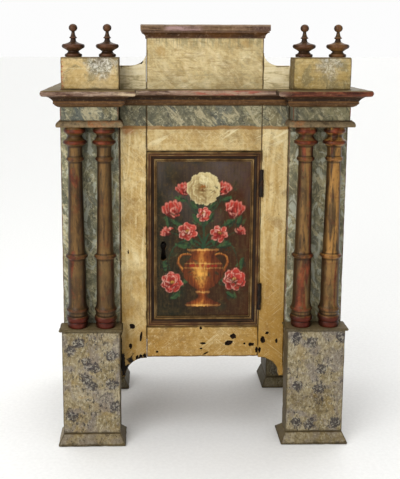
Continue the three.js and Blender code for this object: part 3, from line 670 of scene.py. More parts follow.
def front_marks(p, streaks):
    """The marbled band, the paler panel over it, the shoulders beside that panel made paler partly with painted light,
    and the stains and cracks that the front alone has.
    """
    middle = p.between(abs(p.x), 0.124, 0.122)
    p.lay("9a7f4c", middle * p.between(p.z, 0.7, 0.68) * 0.3)
    under_band = spot(p, -160, 684, 17)
    p.lay("a0683a", under_band * 0.75)
    slant = p.scaled(14, 60, 90, 6, p.tilted(28))
    brushed = p.patches(0.56, 0.66, 1, 3, 0.6, 0.8, slant) * p.between(p.z, 0.64, 0.665)
    brushed = brushed * p.between(p.z, 0.8, 0.77, 0.25, 1)
    p.lay("e2d6ad", brushed * 0.6)
    # The shoulders above the cornice are paler: partly their own pale paint, partly painted light that lifts the shade
    # of the attic blocks.
    above = p.between(p.z, 0.764, 0.768)
    level = p.noise(1, 6, 0.75, 1.2, p.scaled(22, 120, 90, 5))
    pale_top = p.ramp(level, [(0.36, "bfa976"), (0.52, "e3d6af"), (0.66, "f4ebcd")])
    p.lay(pale_top, above * p.between(abs(p.x), 0.122, 0.124) * 0.6)
    lower = above * p.between(p.z, 0.825, 0.79)
    p.lay("8b8262", lower * p.between(level, 0.5, 0.4, 0, 0.5))
    upper = middle * above
    swirl = p.noise(1, 6, 0.68, 2.2, p.scaled(34, 26, 13, 11, p.tilted(58)))
    swirled = p.ramp(swirl, [(0.36, "8b8263"), (0.46, "b5a06e"), (0.55, "d0c094"), (0.66, "e6d9b4")])
    p.lay(swirled, upper * 0.4)
    cracks = p.patches(0.47, 0.4, 1, 5, 0.75, 0.5, p.scaled(28, 60, 330, 15))
    p.lay("82693a", upper * cracks * 0.4)
    smudges = p.math("MAXIMUM", spot(p, -92, 846, 14, 1.4), spot(p, 88, 862, 12, 1.4))
    p.lay("9c7634", smudges * 0.5)
    greenish = p.between(p.z, 0.845, 0.866) * p.between(streaks, 0.47, 0.56)
    p.lay("6f6a4c", greenish * 0.5)
    cream = p.colour
    marbling(p, 5, 0.4)
    flecked(p, "37382f", "c9c1a0")
    marbled, p.colour = p.colour, cream
    ragged = p.z + p.noise(30, 3, seed=6) * 0.01
    in_band = p.window(ragged, 0.6935, 0.6955, 0.757, 0.76)
    p.lay(marbled, in_band * 0.95)
    under = p.window(ragged, 0.6865, 0.6895, 0.6935, 0.6965)
    p.lay("7d5527", under * 0.8)
    edge = p.attribute("worn") + p.noise(90, 4, 0.65, seed=31) * 1.1
    bracket = p.between(p.x, -0.118, -0.124) * p.between(p.z, 0.192, 0.186)
    p.lay("171009", bracket * p.between(edge, 0.52, 0.66))


def cream_paint(name, along, fronted, tone=0):
    """Cream and ochre oil paint with brushed streaks, fine scratches, smoke, stains and brown seams."""
    p = Paint(name)
    broad = p.noise(10, 5, 0.6, 0.6, seed=tone)
    p.colour = p.ramp(broad, [(0.32, "9a7a42"), (0.43, "b09055"), (0.53, "bd9f64"), (0.68, "cdb47e")])
    pale = p.patches(0.48, 0.66, 30, 4, 0.6, 0.8, p.scaled(1, 1, 0.6, 2 + tone))
    p.lay("d8c595", pale * 0.5)
    smoke = p.patches(0.5, 0.66, 24, 6, 0.68, 0.5, seed=12 + tone)
    p.lay("857b5e", smoke * 0.55)
    streaks = board_streaks(p, along)
    flow = p.scaled(8, 50, 50, 3 + tone) if along == "x" else p.scaled(50, 50, 8, 3 + tone)
    flow = p.noise(1, 4, 0.6, 1.2, flow)
    clear, crossing, fleck = (0.58, 0.3, 0.25) if along == "z" else (0.35, 0.4, 0.45)
    p.tints(flow, ("e0d0a2", 0.5, 0.62, clear), ("957640", 0.47, 0.36, clear))
    clear = 0.8 - clear
    p.tints(streaks, ("dfd0a2", 0.5, 0.7, clear), ("8a6a37", 0.47, 0.3, clear))
    for turn, tint, seed in ((34, "e0d2a6", 1), (-30, "d9c897", 5), (50, "8d7345", 9)):
        stroke = p.scaled(70, 30, 22, seed + tone, p.tilted(turn))
        swept = p.patches(0.52, 0.66, 1, 5, 0.65, 2.6, stroke)
        p.lay(tint, swept * crossing)
    p.lay("bfb18a", p.between(p.z, 0.6, 0.8, 0, 0.25))
    sooty = broad * 0.22 + p.between(p.x, 0.1, 0.13, 0, -0.07)
    low = p.between(p.z + sooty, 0.53, 0.27)
    p.lay("9a722c", low * p.between(p.x, 0.1, 0.13, 0.8, 0.95))
    yellowed = p.between(p.x, 0.12, 0.13) * p.between(p.z, 0.66, 0.6)
    p.lay("b08c4c", yellowed * 0.25)
    stains = p.patches(0.56, 0.66, 40, 6, 0.7, 0.6, seed=9 + tone)
    p.lay("8f6a38", stains * 0.45)
    scratches = p.math("MAXIMUM", slanted_scratches(p, 42, 4 + tone), slanted_scratches(p, -38, 8 + tone))
    p.lay("ddcda0", scratches * 0.35)
    aged(p, 0.5, "735d35", "e0d0a4", fleck)
    if fronted:
        front_marks(p, streaks)
    seams = worn_away(p, 0.42)
    p.lay("4d3819", seams * 0.75)
    relief = streaks * 0.6 + scratches * 0.4 - seams * 0.5
    return p.finish(broad, 0.45, 0.68, relief, 0.5)


def attic_paint():
    """The blocks under the finials: cream rubbed to a speckled grey-white patch, red at the left edge, with painted
    shade on the inner faces.
    """
    p = Paint("attic_paint")
    broad = p.noise(15, 5, 0.6, 0.6, seed=2)
    p.colour = p.ramp(broad, [(0.32, "8f7440"), (0.44, "a98d55"), (0.54, "b89d68"), (0.68, "c7b184")])
    p.lay("a18e58", p.between(p.x, -0.05, 0.05) * 0.4)
    streaks = grain(p, "x", 230, 12)
    p.tints(streaks, ("d6c698", 0.5, 0.7, 0.45), ("7d6233", 0.47, 0.3, 0.5))
    smoke = p.patches(0.47, 0.6, 26, 6, 0.7, 0.6, seed=15)
    p.lay("6f674a", smoke * 0.65)
    patch = p.math("MAXIMUM", spot(p, -212, 822, 40, 1.5), spot(p, 250, 820, 34, 1.5) * 0.7)
    speckle = p.noise(150, 4, 0.75, 0.8, seed=4)
    rubbed = p.ramp(speckle, [(0.38, "4a4a42"), (0.5, "8d8e84"), (0.6, "d8d7cc")])
    p.lay(rubbed, patch * 0.75)
    low_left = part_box("attic_block_left")[0]
    flecks = p.between(p.x, low_left.x + 9 * MM, low_left.x + 2 * MM) * p.between(speckle, 0.46, 0.56)
    p.lay("96342a", flecks * 0.85)
    # Painted shade: the faces that look to the middle are darkened.
    p.lay("4a3a1e", inner_faces(p) * 0.8)
    aged(p, 0.7, "6b5630", "d8cba3", 0.4)
    seams = worn_away(p, 0.4)
    p.lay("4d3a1e", seams * 0.7)
    relief = streaks * 0.6 - seams * 0.5
    return p.finish(broad, 0.48, 0.7, relief, 0.5)


def marbled_paint():
    """The boards behind the columns, made paler with painted light against the columns' shade, and the frieze over
    them.
    """
    p = Paint("marbled_paint")
    clouds, feather = marbling(p)
    aged(p, 0.6, "37382f", "c9c1a0", 0.55)
    p.lay("6d5f3a", p.between(p.x, -0.05, 0.05) * 0.22)
    frieze = p.between(p.z, 0.676, 0.68)
    behind = p.between(frieze, 0, 1, 1, 0)
    blotches = p.noise(1, 4, 0.62, 2.2, p.scaled(34, 34, 17, 7))
    p.lay("c4c8b8", behind * p.between(blotches, 0.52, 0.6, 0, 0.55))
    p.lay("363b31", behind * p.between(blotches, 0.46, 0.38, 0, 0.6))
    # Painted light: the boards behind the columns are made paler, against the shade that the columns cast on them.
    p.lay("b3af90", behind * 0.15)
    p.lay("3e4038", frieze * 0.38)
    p.lay("5c3a24", worn_away(p, 0.38) * 0.8)
    rubbed = worn_away(p, 0.2) * p.patches(0.55, 0.65, 22, 3, seed=4)
    p.lay("84331f", rubbed * 0.8)
    streaks = grain(p, "z", 260, 10)
    relief = streaks * 0.5 + feather * 0.35
    return p.finish(clouds, 0.42, 0.64, relief, 0.45)


# Where the darker sponge marks are on the pedestals, in millimetres across and up
SPONGE_MARKS = (
    (-285, 212), (-267, 232), (-253, 188), (-233, 175), (-198, 202), (-253, 148), (-241, 135), (-198, 137),
    (-190, 87), (-284, 66), (197, 239), (231, 230), (295, 241), (254, 169), (250, 125), (204, 130), (202, 45),
    (286, 45), (231, 44),
)


def sponged_paint(name, dark=0, tint="665633"):
    """Grey-beige with clusters of small blue-violet dabs, as off a sponge, over an ochre ground, with painted shade on
    the inner faces; the rear legs' copy is darkened all over as painted shade.
    """
    p = Paint(name)
    broad = p.noise(13, 4, 0.6, 0.4)
    p.colour = p.ramp(broad, [(0.3, "68583a"), (0.43, "7f704f"), (0.52, "8d7f60"), (0.62, "968a70"), (0.72, "947b48")])
    fine = p.noise(190, 3, 0.65, 0.3, p.scaled(1, 1, 0.55, 1))
    p.tints(fine, ("b0a88f", 0.5, 0.64, 0.6), ("5d5238", 0.47, 0.34, 0.5))
    ochre = p.patches(0.55, 0.68, 15, 3, 0.6, seed=6)
    p.lay("8a7038", ochre * 0.42)
    haze = p.patches(0.48, 0.6, 22, 3, 0.6, 0.5, seed=3)
    p.lay("6f696c", haze * 0.5)
    cluster = p.patches(0.56, 0.66, 24, 1, 0.4, 0.2, seed=3) * 0.2
    for x, z in SPONGE_MARKS:
        cluster = p.math("MAXIMUM", cluster, spot(p, x, z, 17, 1.2) * 0.95)
    spread = p.noise(230, 4, 0.7, 0.3, p.scaled(1, 1, 0.5, 2)) + cluster * 0.22
    dabs = p.between(spread, 0.56, 0.64)
    p.lay("676066", cluster * 0.45)
    p.lay("2b282d", dabs * 0.82)
    spread_light = p.noise(150, 2, 0.6, 0.6, seed=8) + cluster * 0.12
    p.lay("bdb7a6", p.between(spread_light, 0.64, 0.71) * 0.4)
    aged(p, 0.5, "433a28", "c2b797", 0.5)
    # The faces that look to the middle are darker: partly bare wood, partly painted shade.
    p.lay("3d3119", inner_faces(p) * 0.8)
    p.lay("5e4c31", p.between(p.facing("Z"), 0.5, 0.9) * 0.7)
    # A darker tint over all: a little on the dusty caps and feet, more on the rear legs as painted shade.
    p.lay(tint, dark)
    chipped = p.between(p.z, 0.012, 0.002) * p.patches(0.48, 0.58, 45, 4, 0.7, seed=13)
    p.lay("1d1810", chipped * 0.85)
    p.lay("3f341d", worn_away(p, 0.4) * 0.65)
    relief = dabs * 0.5 + grain(p, "z", 240, 12) * 0.5
    return p.finish(broad, 0.5, 0.72, relief, 0.45)


def bronzed_paint(name, finial=False):
    """Brown bronze paint over a red ground, which shows on the ridges and in long worn streaks, with a painted golden
    sheen, painted highlights on the fronts and painted shade on the flanks.
    """
    p = Paint(name)
    broad = p.noise(9, 4, 0.6, 0.4)
    p.colour = p.ramp(broad, [(0.3, "382713"), (0.45, "4d3920"), (0.58, "604a2a"), (0.72, "725a36")])
    brushed = p.noise(1, 5, 0.75, 0.3, p.scaled(220, 220, 50, 2))
    x, z = p.x, p.z
    # Golden streaks, strongest on the upper part of the outer right column: partly its golden bronze paint, partly a
    # painted sheen.
    rubbed = p.noise(1, 4, 0.6, 0.6, p.scaled(80, 80, 11, 13))
    golden = p.between(x, 0.23, 0.25, 0.2, 0.8) * p.between(z, 0.4, 0.42, 0.25, 1)
    p.lay("b0803f", golden * p.between(rubbed, 0.39, 0.56))
    p.lay("8d6a3c", p.between(brushed, 0.53, 0.66, 0, 0.5))
    p.lay("2c1e10", p.between(x, 0.1, -0.1, 0, 0.28))
    p.lay("26180d", p.between(brushed, 0.48, 0.34, 0, 0.75))
    # Painted highlight: faces that look straight to the front are lightened in streaks, more on the right columns.
    front_highlight = p.between(p.facing("Y"), -0.8, -0.99) * p.between(rubbed, 0.38, 0.58)
    p.lay("9a713f", front_highlight * p.between(x, 0.1, 0.2, 0.1, 0.3))
    wear = p.noise(1, 4, 0.6, 0.6, p.scaled(38, 38, 8, 3))
    wear = wear + (p.noise(4.5, 1, seed=21) - 0.5) * 0.35
    redder = p.window(x, 0.16, 0.18, 0.23, 0.24)
    bare = p.between(wear + redder * 0.12, 0.6, 0.69)
    red = p.ramp(p.noise(60, 4, 0.65, seed=5), [(0.34, "35130a"), (0.5, "5a2211"), (0.68, "84391f")])
    if not finial:
        p.lay(red, bare * 0.8)
        capitals = p.between(z, 0.632, 0.638, 0.3, 0.85)
        p.lay(red, worn_away(p, 0.54, 60) * capitals)
        ragged = z + p.noise(40, 3, seed=9) * 0.008
        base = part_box("column_inner_left")[0].z
        at_base = p.between(ragged, base + 29 * MM, base + 25 * MM, 0, 0.9)
        p.lay(p.mix(0.8, red, "461006"), at_base)
    else:
        p.lay("7a4424", worn_away(p, 0.5, 60) * 0.4)
        p.lay("35211a", 0.55)
    p.lay("22130a", p.between(p.attribute("worn"), 0.42, 0.12) * 0.65)
    # Painted shade: faces that look to the left and right are darkened, as the shaded flanks of the columns and
    # finials.
    p.lay("1c1008", p.between(abs(p.facing("X")), 0.4, 0.92, 0, 0.8))
    relief = brushed * 0.7 + bare * -0.4
    metal = p.between(brushed, 0.45, 0.7, 0, 0.3)
    p.set_shader({"Coat Weight": 0.06, "Coat Roughness": 0.28})
    return p.finish(broad, 0.36, 0.54, relief, 0.4, metal=metal)


def cornice_paint():
    """Brown mouldings: dark coves, thin light fillets, and a mauve-brown nose worn to red, with a painted highlight
    near its left end and painted shade on the inner returns.
    """
    p = Paint("cornice_paint")
    along = p.attribute("profile")
    streaks = p.noise(1, 4, 0.65, 0.3, p.scaled(26, 26, 300))
    shade = along + (streaks - 0.5) * 0.04
    bands = [
        (0, "35250f"), (0.06, "4b3319"), (0.10, "5a3b20"), (0.113, "1b0f07"), (0.13, "785531"), (0.148, "4a3019"),
        (0.166, "25160b"), (0.22, "2c1b0c"), (0.278, "432c1a"), (0.335, "1a0e07"), (0.36, "5d4535"), (0.40, "7f6758"),
        (0.44, "6b5344"), (0.458, "402c1d"), (0.475, "6c5d3b"), (1, "5e5231"),
    ]
    p.colour = p.ramp(shade, bands)
    x = p.x
    nose = p.window(along, 0.338, 0.352, 0.458, 0.472)
    mottle = p.noise(1, 5, 0.7, 0.4, p.scaled(24, 40, 170, 4))
    p.lay("a38d7a", nose * p.between(mottle, 0.5, 0.6, 0, 0.75))
    p.lay("46291c", nose * p.between(mottle, 0.47, 0.38, 0, 0.85))
    centre = p.window(x, -0.08, 0, 0.09, 0.14)
    p.lay("b3947c", centre * nose * 0.55)
    streak = p.patches(0.48, 0.6, 1, 3, 0.6, 0.3, p.scaled(22, 22, 160, 9))
    p.lay("8c3024", centre * nose * (streak * 0.7))
    right = p.between(x, 0.14, 0.175)
    red = p.ramp(mottle, [(0.36, "2a120b"), (0.5, "4c1d10"), (0.66, "7c3c1e")])
    p.lay(red, right * nose * 0.92)
    # Painted highlight: a pale streak on the nose near its left end.
    end = p.window(x, -0.2, -0.165, -0.146, -0.134)
    white = end * p.window(along, 0.365, 0.375, 0.44, 0.45)
    p.lay("c2ad8c", white * p.between(mottle, 0.38, 0.56, 0.2, 0.8))
    # Painted shade: the inner returns, which look to the middle, are darkened.
    p.lay("1d110a", inner_faces(p, -0.4, -0.7) * 0.85)
    edges = worn_away(p, 0.5, 34) * (1 - nose)
    p.lay("745638", edges * 0.25)
    aged(p, 0.5, "23150b", "8f7450", 0.4)
    relief = streaks * 0.6 + edges * -0.4
    return p.finish(p.noise(25), 0.4, 0.62, relief, 0.4)


def architrave_paint():
    """Worn grey-beige and orange-brown on the front, and painted shade in dark red-brown on the returns."""
    p = Paint("architrave_paint")
    broad = p.noise(26, 4, 0.6, 0.4)
    p.colour = p.ramp(broad, [(0.32, "32261a"), (0.45, "50412d"), (0.53, "6d5b42"), (0.6, "83512c"), (0.7, "5a5340")])
    # Painted shade: the returns, which face left and right, are darkened.
    p.lay("3a2013", p.between(abs(p.facing("X")), 0.5, 0.8) * 0.7)
    p.lay("8d7b5b", worn_away(p, 0.5, 40) * 0.35)
    p.lay("33281b", p.between(p.attribute("profile"), 0.55, 0.59) * 0.7)
    aged(p, 0.5, "1f150c", "a2875f", 0.5)
    streaks = p.noise(1, 4, 0.65, 0.3, p.scaled(30, 30, 300))
    return p.finish(broad, 0.42, 0.62, streaks, 0.4)


def crown_paint():
    """The crown: a dark red-brown cove, a mauve-brown worn edge and a dusty pinkish top."""
    p = Paint("crown_paint")
    low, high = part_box("crown_board")
    x = p.x
    broad = p.noise(16, 5, 0.6, 0.4)
    streaks = p.noise(1, 4, 0.65, 0.3, p.scaled(26, 26, 260))
    cove = p.ramp(broad, [(0.35, "2c1a0b"), (0.5, "472c11"), (0.65, "613c16")])
    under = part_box("crown_moulding")[0].z + 8 * MM
    hollow = p.between(p.z, under, under + 6 * MM) * p.between(p.z, low.z - 2 * MM, low.z - 8 * MM)
    cove = p.mix(hollow * p.between(x, 0.02, 0.1, 0.25, 0.6), cove, "8c5a26")
    edge = p.ramp(streaks, [(0.35, "3f2a18"), (0.5, "5d452b"), (0.62, "72583d"), (0.72, "8c7658")])
    mauve = p.window(x, -0.09, -0.075, -0.02, 0)
    edge = p.mix(mauve * p.between(streaks, 0.4, 0.6, 0.3, 0.8), edge, "a8898a")
    edge = p.mix(p.between(x, 0.075, 0.11, 0, 0.8), edge, "38201f")
    dust = p.ramp(broad, [(0.35, "7d6a54"), (0.5, "917d66"), (0.65, "a18d76")])
    p.colour = p.mix(p.between(p.z, low.z - 1 * MM, low.z), cove, edge)
    rounding = p.between(p.z, high.z - 4.5 * MM, high.z - 2.5 * MM, 0, 0.85)
    p.lay(dust, p.math("MAXIMUM", rounding, p.between(p.facing("Z"), 0.6, 0.9)))
    worn = worn_away(p, 0.42, 30)
    p.lay("8a6f5d", worn * 0.3)
    aged(p, 0.5, "2a190e", "a58d78", 0.4)
    relief = streaks * 0.7 + worn * -0.4
    return p.finish(broad, 0.45, 0.68, relief, 0.45)


def door_frame_paint(name, along):
    """Dark brown with gold-brown lines on the bead and the fillets, streaked along each member."""
    p = Paint(name)
    profile = p.attribute("profile")
    broad = p.noise(14, 4, 0.6, 0.4)
    p.colour = p.ramp(broad, [(0.32, "180d04"), (0.5, "271606"), (0.68, "361f09")])
    ridge = p.attribute("worn")
    ragged = ridge + p.noise(70, 4, 0.65, seed=3) * 0.5
    gilt = p.between(ragged, 0.8, 0.96)
    gold = p.ramp(p.noise(40, 4, 0.6, seed=6), [(0.35, "4a3213"), (0.52, "775a30"), (0.68, "9a8052")])
    p.lay(gold, gilt * 0.75)
    p.lay("190e06", p.between(ridge, 0.4, 0.15) * 0.5)
    streaks = grain(p, along, 320, 14)
    p.lay("66482a", p.between(streaks, 0.52, 0.7, 0, 0.45))
    band = p.window(profile, 0.635, 0.65, 0.735, 0.75)
    band = band * p.patches(0.35, 0.6, 30, 4, 0.6, seed=1)
    p.lay("52301a", band * 0.5)
    return p.finish(broad, 0.36, 0.55, streaks, 0.4, 0.4 * MM)


def picture_paint():
    """The painted panel: the colours are laid on in code, under an old crazed varnish."""
    p = Paint("picture_paint")
    p.colour = p.attribute("picture", "Color")
    streaks = grain(p, "z", 300, 16)
    p.lay("5e4624", p.between(streaks, 0.55, 0.75, 0, 0.1))
    craze = p.between(p.crazing(90), 0, 0.05, 0.35, 0)
    p.lay("140d07", craze * 0.5)
    relief = streaks * 0.5 + craze * -0.6
    return p.finish(p.noise(30), 0.38, 0.55, relief, 0.3, 0.3 * MM)


def bare_wood(name, along):
    """Planed softwood gone brown, with growth rings, pores and dust."""
    p = Paint(name)
    scale = {"x": (1.2, 22, 22), "y": (22, 1.2, 22), "z": (22, 22, 1.2)}[along]
    rings = p.noise(1, 2, 0.5, 2.2, p.scaled(*scale))
    bands = p.math("FRACT", rings * 9)
    p.colour = p.ramp(bands, [(0, "4d371d"), (0.25, "6a4e2c"), (0.7, "7b5e38"), (1, "574024")])
    fine = grain(p, along, 420, 9)
    p.tints(fine, ("8d7248", 0.45, 0.7, 0.6), ("33210f", 0.46, 0.3, 0.7))
    grime = p.patches(0.4, 0.7, 8, 5, 0.6, 0.4, seed=3)
    p.lay("7d6a50", grime * 0.6, "MULTIPLY")
    p.lay("2e1f0f", worn_away(p, 0.38) * 0.6)
    relief = fine * 0.7 + bands * 0.3
    return p.finish(fine, 0.62, 0.85, relief, 0.5)


def iron():
    """Dark forged iron with brown rust in patches."""
    p = Paint("iron")
    broad = p.noise(60, 5, 0.65, 0.3)
    p.colour = p.ramp(broad, [(0.35, "1d1a18"), (0.5, "2c2723"), (0.6, "4a2f1d"), (0.72, "6a3f22")])
    pits = p.noise(420, 4, 0.7, seed=2)
    p.lay("6f675c", worn_away(p, 0.5, 60) * 0.6)
    metal = p.between(broad, 0.62, 0.5, 0.1, 0.85)
    return p.finish(broad, 0.42, 0.8, pits, 0.6, 0.4 * MM, metal, (0.35, 0.65))


def dark_hollow():
    """The inside of holes and gouges in the wood."""
    p = Paint("dark_hollow")
    fine = p.noise(300, 4, 0.6)
    p.colour = p.ramp(fine, [(0.35, "0d0805"), (0.65, "2a1a0e")])
    return p.finish(fine, 0.8, 0.95, fine, 0.6)


# The painted panel

CANVAS_CELL = 1.25 * MM
PAINT_THICK = 0.35 * MM
# How wide a brushed edge is, in millimetres
BRUSHED_EDGE = 1.5
# How far the brush drifts, in millimetres, in waves of several lengths
DRIFT = ((12, 1.5), (5, 1.1), (2.5, 0.7))


class Canvas:
    """Colours and paint thickness on a grid over the panel, in millimetres from its middle."""

    def __init__(self, across, up, seed):
        self.random = np.random.default_rng(seed)
        self.x, self.z = np.meshgrid(across, up, indexing="ij")
        self.colour = np.zeros(self.x.shape + (3,))
        self.thick = np.zeros(self.x.shape)
        self.drift_x, self.drift_z = (sum(self.cloud(cell) * reach for cell, reach in DRIFT) for _ in range(2))
        self.bristle = self.cloud(1.6, 8)

    def cloud(self, cell, stretch=1.0):
        """Smooth noise of -1 to 1 with waves of about the cell's size, longer upwards if stretched."""
        at_x = (self.x - self.x.min()) / cell
        at_z = (self.z - self.z.min()) / (cell * stretch)
        knots = self.random.uniform(-1, 1, (int(at_x.max()) + 3, int(at_z.max()) + 3))
        i, j = at_x.astype(int), at_z.astype(int)
        s, t = at_x - i, at_z - j
        s, t = s * s * (3 - 2 * s), t * t * (3 - 2 * t)
        low = knots[i, j] * (1 - s) + knots[i + 1, j] * s
        high = knots[i, j + 1] * (1 - s) + knots[i + 1, j + 1] * s
        return low * (1 - t) + high * t

    def lay(self, mask, colour, thick=0.3):
        """Lays a colour's code, or an array of colours, where the mask is above 0."""
        colour = lin(colour) if isinstance(colour, str) else colour
        share = np.clip(mask, 0, 1)[..., None]
        self.colour = self.colour * (1 - share) + colour * share
        self.thick = np.maximum(self.thick * (1 - share[..., 0]), share[..., 0] * thick)

    def soft(self, inside):
        """A mask from a distance into a shape, with a brushed edge."""
        return np.clip(inside / BRUSHED_EDGE + 0.5 + 0.6 * self.bristle, 0, 1)

    def daub(self, x, z, reach, colours, count, length, width):
        """Short strokes of several colours, strewn about a place and turned round it."""
        for k in range(count):
            angle = self.random.uniform(0, 2 * math.pi)
            away = reach * math.sqrt(self.random.uniform(0.02, 1))
            turn = math.degrees(angle) + self.random.uniform(50, 130)
            size = self.random.uniform(0.6, 1.2)
            at_x, at_z = x + away * math.cos(angle), z + away * math.sin(angle)
            inside, _, _ = self.oval(at_x, at_z, length * size, width * size, turn)
            self.lay(self.soft(inside) * self.random.uniform(0.4, 0.9), colours[k % len(colours)], 0.8)

    def oval(self, x, z, half_x, half_z, turn=0.0):
        """How far in an oval each point is, and its own two coordinates there, each of -1 to 1."""
        angle = math.radians(turn)
        dx = self.x + self.drift_x - x
        dz = self.z + self.drift_z - z
        along = (dx * math.cos(angle) + dz * math.sin(angle)) / half_x
        across = (-dx * math.sin(angle) + dz * math.cos(angle)) / half_z
        radius = np.hypot(along, across)
        return (1 - radius) * min(half_x, half_z), along, across

    def shaded(self, mask, share, dark, light, thick=0.35):
        """Lays a blend of two colours by a share of 0 to 1 at each point."""
        share = np.clip(share + 0.12 * self.bristle, 0, 1)[..., None]
        self.lay(mask, lin(dark) * (1 - share) + lin(light) * share, thick)

    def stem(self, points, width, colour):
        """A brush stroke along a smooth line through the points, thinner at its end."""
        route = np.array(points, float)
        nearest = np.full(self.x.shape, 1e9)
        steps = 40
        for k in range(steps + 1):
            at = bezier(route, k / steps)
            reach = width * (1 - 0.5 * k / steps)
            away = np.hypot(self.x + self.drift_x * 0.6 - at[0], self.z + self.drift_z * 0.6 - at[1]) - reach
            nearest = np.minimum(nearest, away)
        self.lay(self.soft(-nearest), colour, 0.3)


def bezier(points, share):
    """A point on the curve that a chain of control points draws."""
    while len(points) > 1:
        points = points[:-1] * (1 - share) + points[1:] * share
    return points[0]


def lin(code):
    return np.array(rgb(code)[:3])


def leaf(canvas, x, z, length, turn):
    """A pointed leaf with a lit half and a vein."""
    inside, _, across = canvas.oval(x, z, length / 2, length / 5.5, turn)
    canvas.shaded(canvas.soft(inside), 0.5 + 0.5 * across, "121f16", "35522f")
    canvas.lay(canvas.soft(0.4 - np.abs(across) * length / 5.5) * (inside > 0) * 0.6, "4f6339")
    canvas.daub(x, z, length * 0.4, ("1d3021", "41552f", "182019"), 5, length / 6, 1.6)


def petal(canvas, x, z, turn, reach, length, width):
    """An oval that points away from a place, with its middle at the reach."""
    angle = math.radians(turn)
    return canvas.oval(x + math.cos(angle) * reach, z + math.sin(angle) * reach, length, width, turn)


def tulip(canvas, x, z, size, turn):
    """A cup of five petals, dark in the throat and pale on the rims."""
    for spread, share in ((-34, 0.9), (34, 0.9), (-17, 1.0), (17, 1.0), (0, 0.95)):
        inside, along, across = petal(canvas, x, z, turn + spread, size * 0.42, size * 0.5 * share, size * 0.2)
        canvas.shaded(canvas.soft(inside), 0.45 + 0.5 * along - 0.35 * np.abs(across), "500f0c", "bd3a2b", 0.6)
        canvas.lay(canvas.soft(0.6 - np.abs(inside - 0.8)) * (along > -0.1) * 0.45, "dba08c", 0.9)
    canvas.daub(x, z + size * 0.35, size * 0.35, ("d9907c", "6a120e", "c2473a"), round(size / 3), size / 6, 1.4)


def blossom(canvas, x, z, size, petals=7, dark="560e0b", light="b83c30", eye="b88a3a", pale="e3b39e"):
    """A round flower with two rings of rounded petals about a yellow eye."""
    for ring, (reach, wide, count) in enumerate(((0.62, 0.36, petals), (0.34, 0.26, petals - 2))):
        for k in range(count):
            turn = 360 * (k + 0.5 * ring) / count + 12 + x
            inside, along, _ = petal(canvas, x, z, turn, size * reach, size * 0.38, size * wide)
            lit = 0.4 + 0.4 * along + 0.25 * math.sin(math.radians(turn) + 0.9)
            canvas.shaded(canvas.soft(inside), lit, dark, light, 0.6)
            canvas.lay(canvas.soft(0.5 - np.abs(inside - 0.7)) * (along > 0.15) * 0.5, pale, 0.9)
    inside, _, across = canvas.oval(x, z, size * 0.2, size * 0.2)
    canvas.shaded(canvas.soft(inside), 0.5 + 0.5 * across, "4a2410", eye, 0.8)
    count = round(size / 2)
    canvas.daub(x + size * 0.3, z - size * 0.35, size * 0.5, (dark, dark, light), count, size / 5, 1.5)
    canvas.daub(x - size * 0.2, z + size * 0.25, size * 0.6, (light, pale, pale), count, size / 5, 1.3)


URN_HEIGHT = 130
URN_PROFILE = [
    (0, 37), (5, 39), (9, 34), (14, 21), (20, 11), (26, 9), (31, 15), (35, 16), (39, 12), (47, 25), (62, 39),
    (80, 45), (95, 42), (107, 31), (115, 25), (121, 25), (126, 34), (130, 35),
]


def urn(canvas, bottom):
    """A gilt urn on a turned foot, lit from the left, with bands, bosses and two handles."""
    for sign in (-1, 1):
        points = [(sign * x, bottom + z) for x, z in ((40, 78), (64, 98), (54, 126), (27, 117))]
        canvas.stem(points, 3.2, "7c3f18")
        canvas.stem([(x, z + 1) for x, z in points], 0.8, "b9803a")
    up = canvas.z + canvas.drift_z * 0.5 - bottom
    aside = canvas.x + canvas.drift_x * 0.5
    half = np.interp(up, *zip(*URN_PROFILE), left=-5, right=-5)
    inside = np.minimum(half - np.abs(aside), np.minimum(up, URN_HEIGHT - up))
    across = aside / np.maximum(half, 1)
    glow = np.exp(-((across + 0.12) / 0.48) ** 2) * (1 + 0.25 * canvas.cloud(4) + 0.2 * canvas.bristle)
    belly = np.interp(up, (0, 8, 25, 42, 72, 100, 130), (0.9, 0.5, 0.35, 0.5, 1.0, 0.6, 0.5))
    canvas.shaded(canvas.soft(inside), 0.12 + 0.5 * glow, "36120a", "b05c24", 0.5)
    canvas.lay(canvas.soft(inside) * np.clip(glow * belly - 0.4, 0, 1) * 1.5, "dba24a", 0.5)
    for level, thick in ((3, 1.6), (33, 1.8), (87, 1.2), (97, 1.2), (127.5, 1.9)):
        line = canvas.soft(thick - np.abs(up - level)) * (inside > 0)
        canvas.lay(line * (0.2 + 0.55 * glow), "dba65a", 0.8)
    for k in range(-3, 4):
        boss, _, _ = canvas.oval(k * 11.5 * math.cos(k * 0.22), bottom + 92, 3.2, 3.6)
        canvas.lay(canvas.soft(boss) * 0.8, "8d2418", 0.8)


def paint_ground(canvas):
    """Dark green-brown, redder to the right and greyer at the top, brushed up and down."""
    cloud = canvas.cloud
    share = np.clip((canvas.x + 100) / 200 + 0.2 * cloud(60), 0, 1)[..., None]
    canvas.colour = lin("191a0c") * (1 - share) + lin("411f09") * share
    for strength, field, code, thick in (
        (0.7, cloud(45) * 0.7 + (canvas.z - 50) / 120, "544a46", 0.05),
        (0.7, cloud(30) + 0.3 - np.abs(canvas.x) / 110, "1c2a1c", 0.05),
        (0.6, cloud(22) + 0.4 * cloud(6) - 0.2, "40331a", 0.05),
        (0.5, cloud(6) + cloud(2.5) - 0.2, "4e3c1f", 0.1),
        (0.25, cloud(2.2, 8), "5c4828", 0.1),
        (0.25, cloud(3, 10), "15100a", 0.1),
    ):
        canvas.lay(strength * np.clip(field, 0, 1), code, thick)


# The picture's places are in millimetres, across from the middle and up from the urn's rim
URN_BOTTOM = -150
